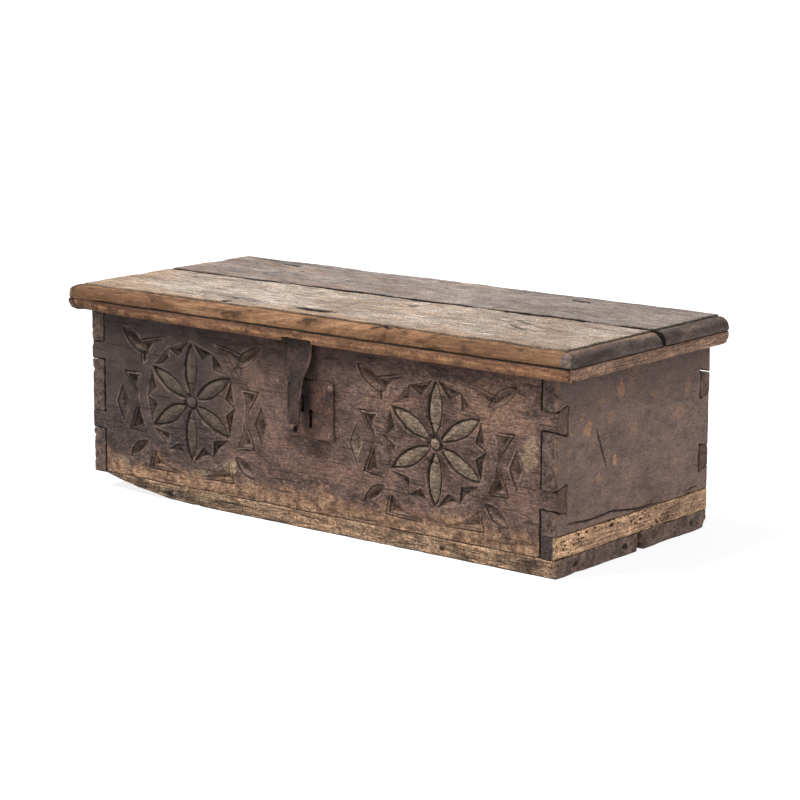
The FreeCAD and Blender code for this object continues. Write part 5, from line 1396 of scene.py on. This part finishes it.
def base_nails():
    """The nails that hold the base planks, driven from below, their heads just inside it."""
    reach, depth, sunk = 291.25 * MM, 62 * MM, 2.3 * MM
    across = PANEL_LOW.y + PANEL / 2
    places = [(x * MM, side * across) for side in (1, -1) for x in (-240, -80, 80, 240)]
    places += [(a * reach, b * depth) for a in (-1, 1) for b in (-1, 1)]
    spots = [(x, y, float(base_loss(np.array(x), np.array(y))) + sunk) for x, y in places]
    nails("plank_nails", spots, (0, 0, -1), 4 * MM, 1.5 * MM)


def plain_iron():
    """CAD nodes that stay, in iron."""
    for name in ("moulding_nails", "cleat_nails", "hasp_leaf_nails", "hasp_leaf", "hasp_pin",
                 "hasp_staple", "left_hinge_lid_eye", "right_hinge_lid_eye",
                 "left_hinge_body_eye", "right_hinge_body_eye", "lock_bolt", "bolt_guides",
                 "bolt_spring"):
        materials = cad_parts[name].data.materials
        if not materials:
            materials.append(MATERIALS["dark_iron"])
        for number in range(len(materials)):
            materials[number] = MATERIALS["dark_iron"]


# ---- studio -------------------------------------------------------------------------------

CAMERA_PLACE = Vector((1.623458, -2.010513, 0.633788))
CAMERA_YAW = -0.675720
CAMERA_PITCH = 0.199705
CAMERA_ROLL = 0.002980
CAMERA_LENS = 115.94
FLOOR_REACH = 40
FLOOR_TONE = 0.22
FLOOR_GLOW = 0.84
SURROUND = 0.5


def camera():
    """The camera as it was fitted to the photograph."""
    ahead = Vector((math.sin(CAMERA_YAW) * math.cos(CAMERA_PITCH),
                    math.cos(CAMERA_YAW) * math.cos(CAMERA_PITCH), -math.sin(CAMERA_PITCH)))
    right = Vector((math.cos(CAMERA_YAW), -math.sin(CAMERA_YAW), 0))
    up = right.cross(ahead)
    rolled_right = math.cos(CAMERA_ROLL) * right + math.sin(CAMERA_ROLL) * up
    rolled_up = math.cos(CAMERA_ROLL) * up - math.sin(CAMERA_ROLL) * right
    data = bpy.data.cameras.new("camera")
    data.lens = CAMERA_LENS
    data.sensor_width = 36
    data.clip_end = 60
    holder = bpy.data.objects.new("camera", data)
    turn = Matrix((rolled_right, rolled_up, -ahead)).transposed().to_4x4()
    holder.matrix_world = Matrix.Translation(CAMERA_PLACE) @ turn
    bpy.context.scene.collection.objects.link(holder)
    bpy.context.scene.camera = holder


def floor():
    """A plain pale floor that glows, so that it renders white."""
    mesh = bpy.data.meshes.new("floor")
    corners = [(a * FLOOR_REACH, b * FLOOR_REACH, 0)
               for a, b in ((-1, -1), (1, -1), (1, 1), (-1, 1))]
    mesh.from_pydata(corners, [], [(0, 1, 2, 3)])
    s = Shader("floor_paint", 0.9, gloss=0)
    s.set("Base Color", (FLOOR_TONE, FLOOR_TONE, FLOOR_TONE, 1))
    s.set("Emission Color", (1, 1, 1, 1))
    s.set("Emission Strength", FLOOR_GLOW)
    mesh.materials.append(s.material)
    piece = bpy.data.objects.new("floor", mesh)
    bpy.context.scene.collection.objects.link(piece)


def sun(name, strength, spread, towards):
    """A broad light that comes from the direction towards."""
    data = bpy.data.lights.new(name, "SUN")
    data.energy = strength
    data.angle = math.radians(spread)
    lamp = bpy.data.objects.new(name, data)
    lamp.rotation_euler = Vector(towards).to_track_quat("Z", "Y").to_euler()
    bpy.context.scene.collection.objects.link(lamp)


def light():
    """A white surround, a key light from the upper left front, a weak fill from the right."""
    world = bpy.data.worlds.new("studio")
    world.use_nodes = True
    background = world.node_tree.nodes["Background"]
    background.inputs["Color"].default_value = (1, 1, 1, 1)
    background.inputs["Strength"].default_value = SURROUND
    bpy.context.scene.world = world
    sun("key_light", 7.0, 25, (-0.50, -0.42, 1.0))
    sun("fill_light", 1.5, 60, (0.90, -0.15, 0.45))
    bpy.context.scene.view_settings.view_transform = "Standard"


# ---- assembly -----------------------------------------------------------------------------

FINE = 0.7 * MM
cross_board("carved_front", FRONT, FRONT + PANEL, FINE, 1, PLATE_HOLE)
cross_board("back_board", -FRONT, -FRONT - PANEL, 2 * MM, 2)
end_board("left_end", 5, 7)
end_board("right_end", 6, 3.4, RIGHT_CUTS, RIGHT_LOST)
side_strip()
base_plank("front_plank", 8)
base_plank("rear_plank", 9)
lid_board("front_lid_board", 21, True)
lid_board("rear_lid_board", 22, False)
front_moulding()
cleat("left_cleat", 51)
cleat("right_cleat", 52)
hasp()
lock_plate()
plate_nails()
base_nails()
plain_iron()
floor()
light()
camera()
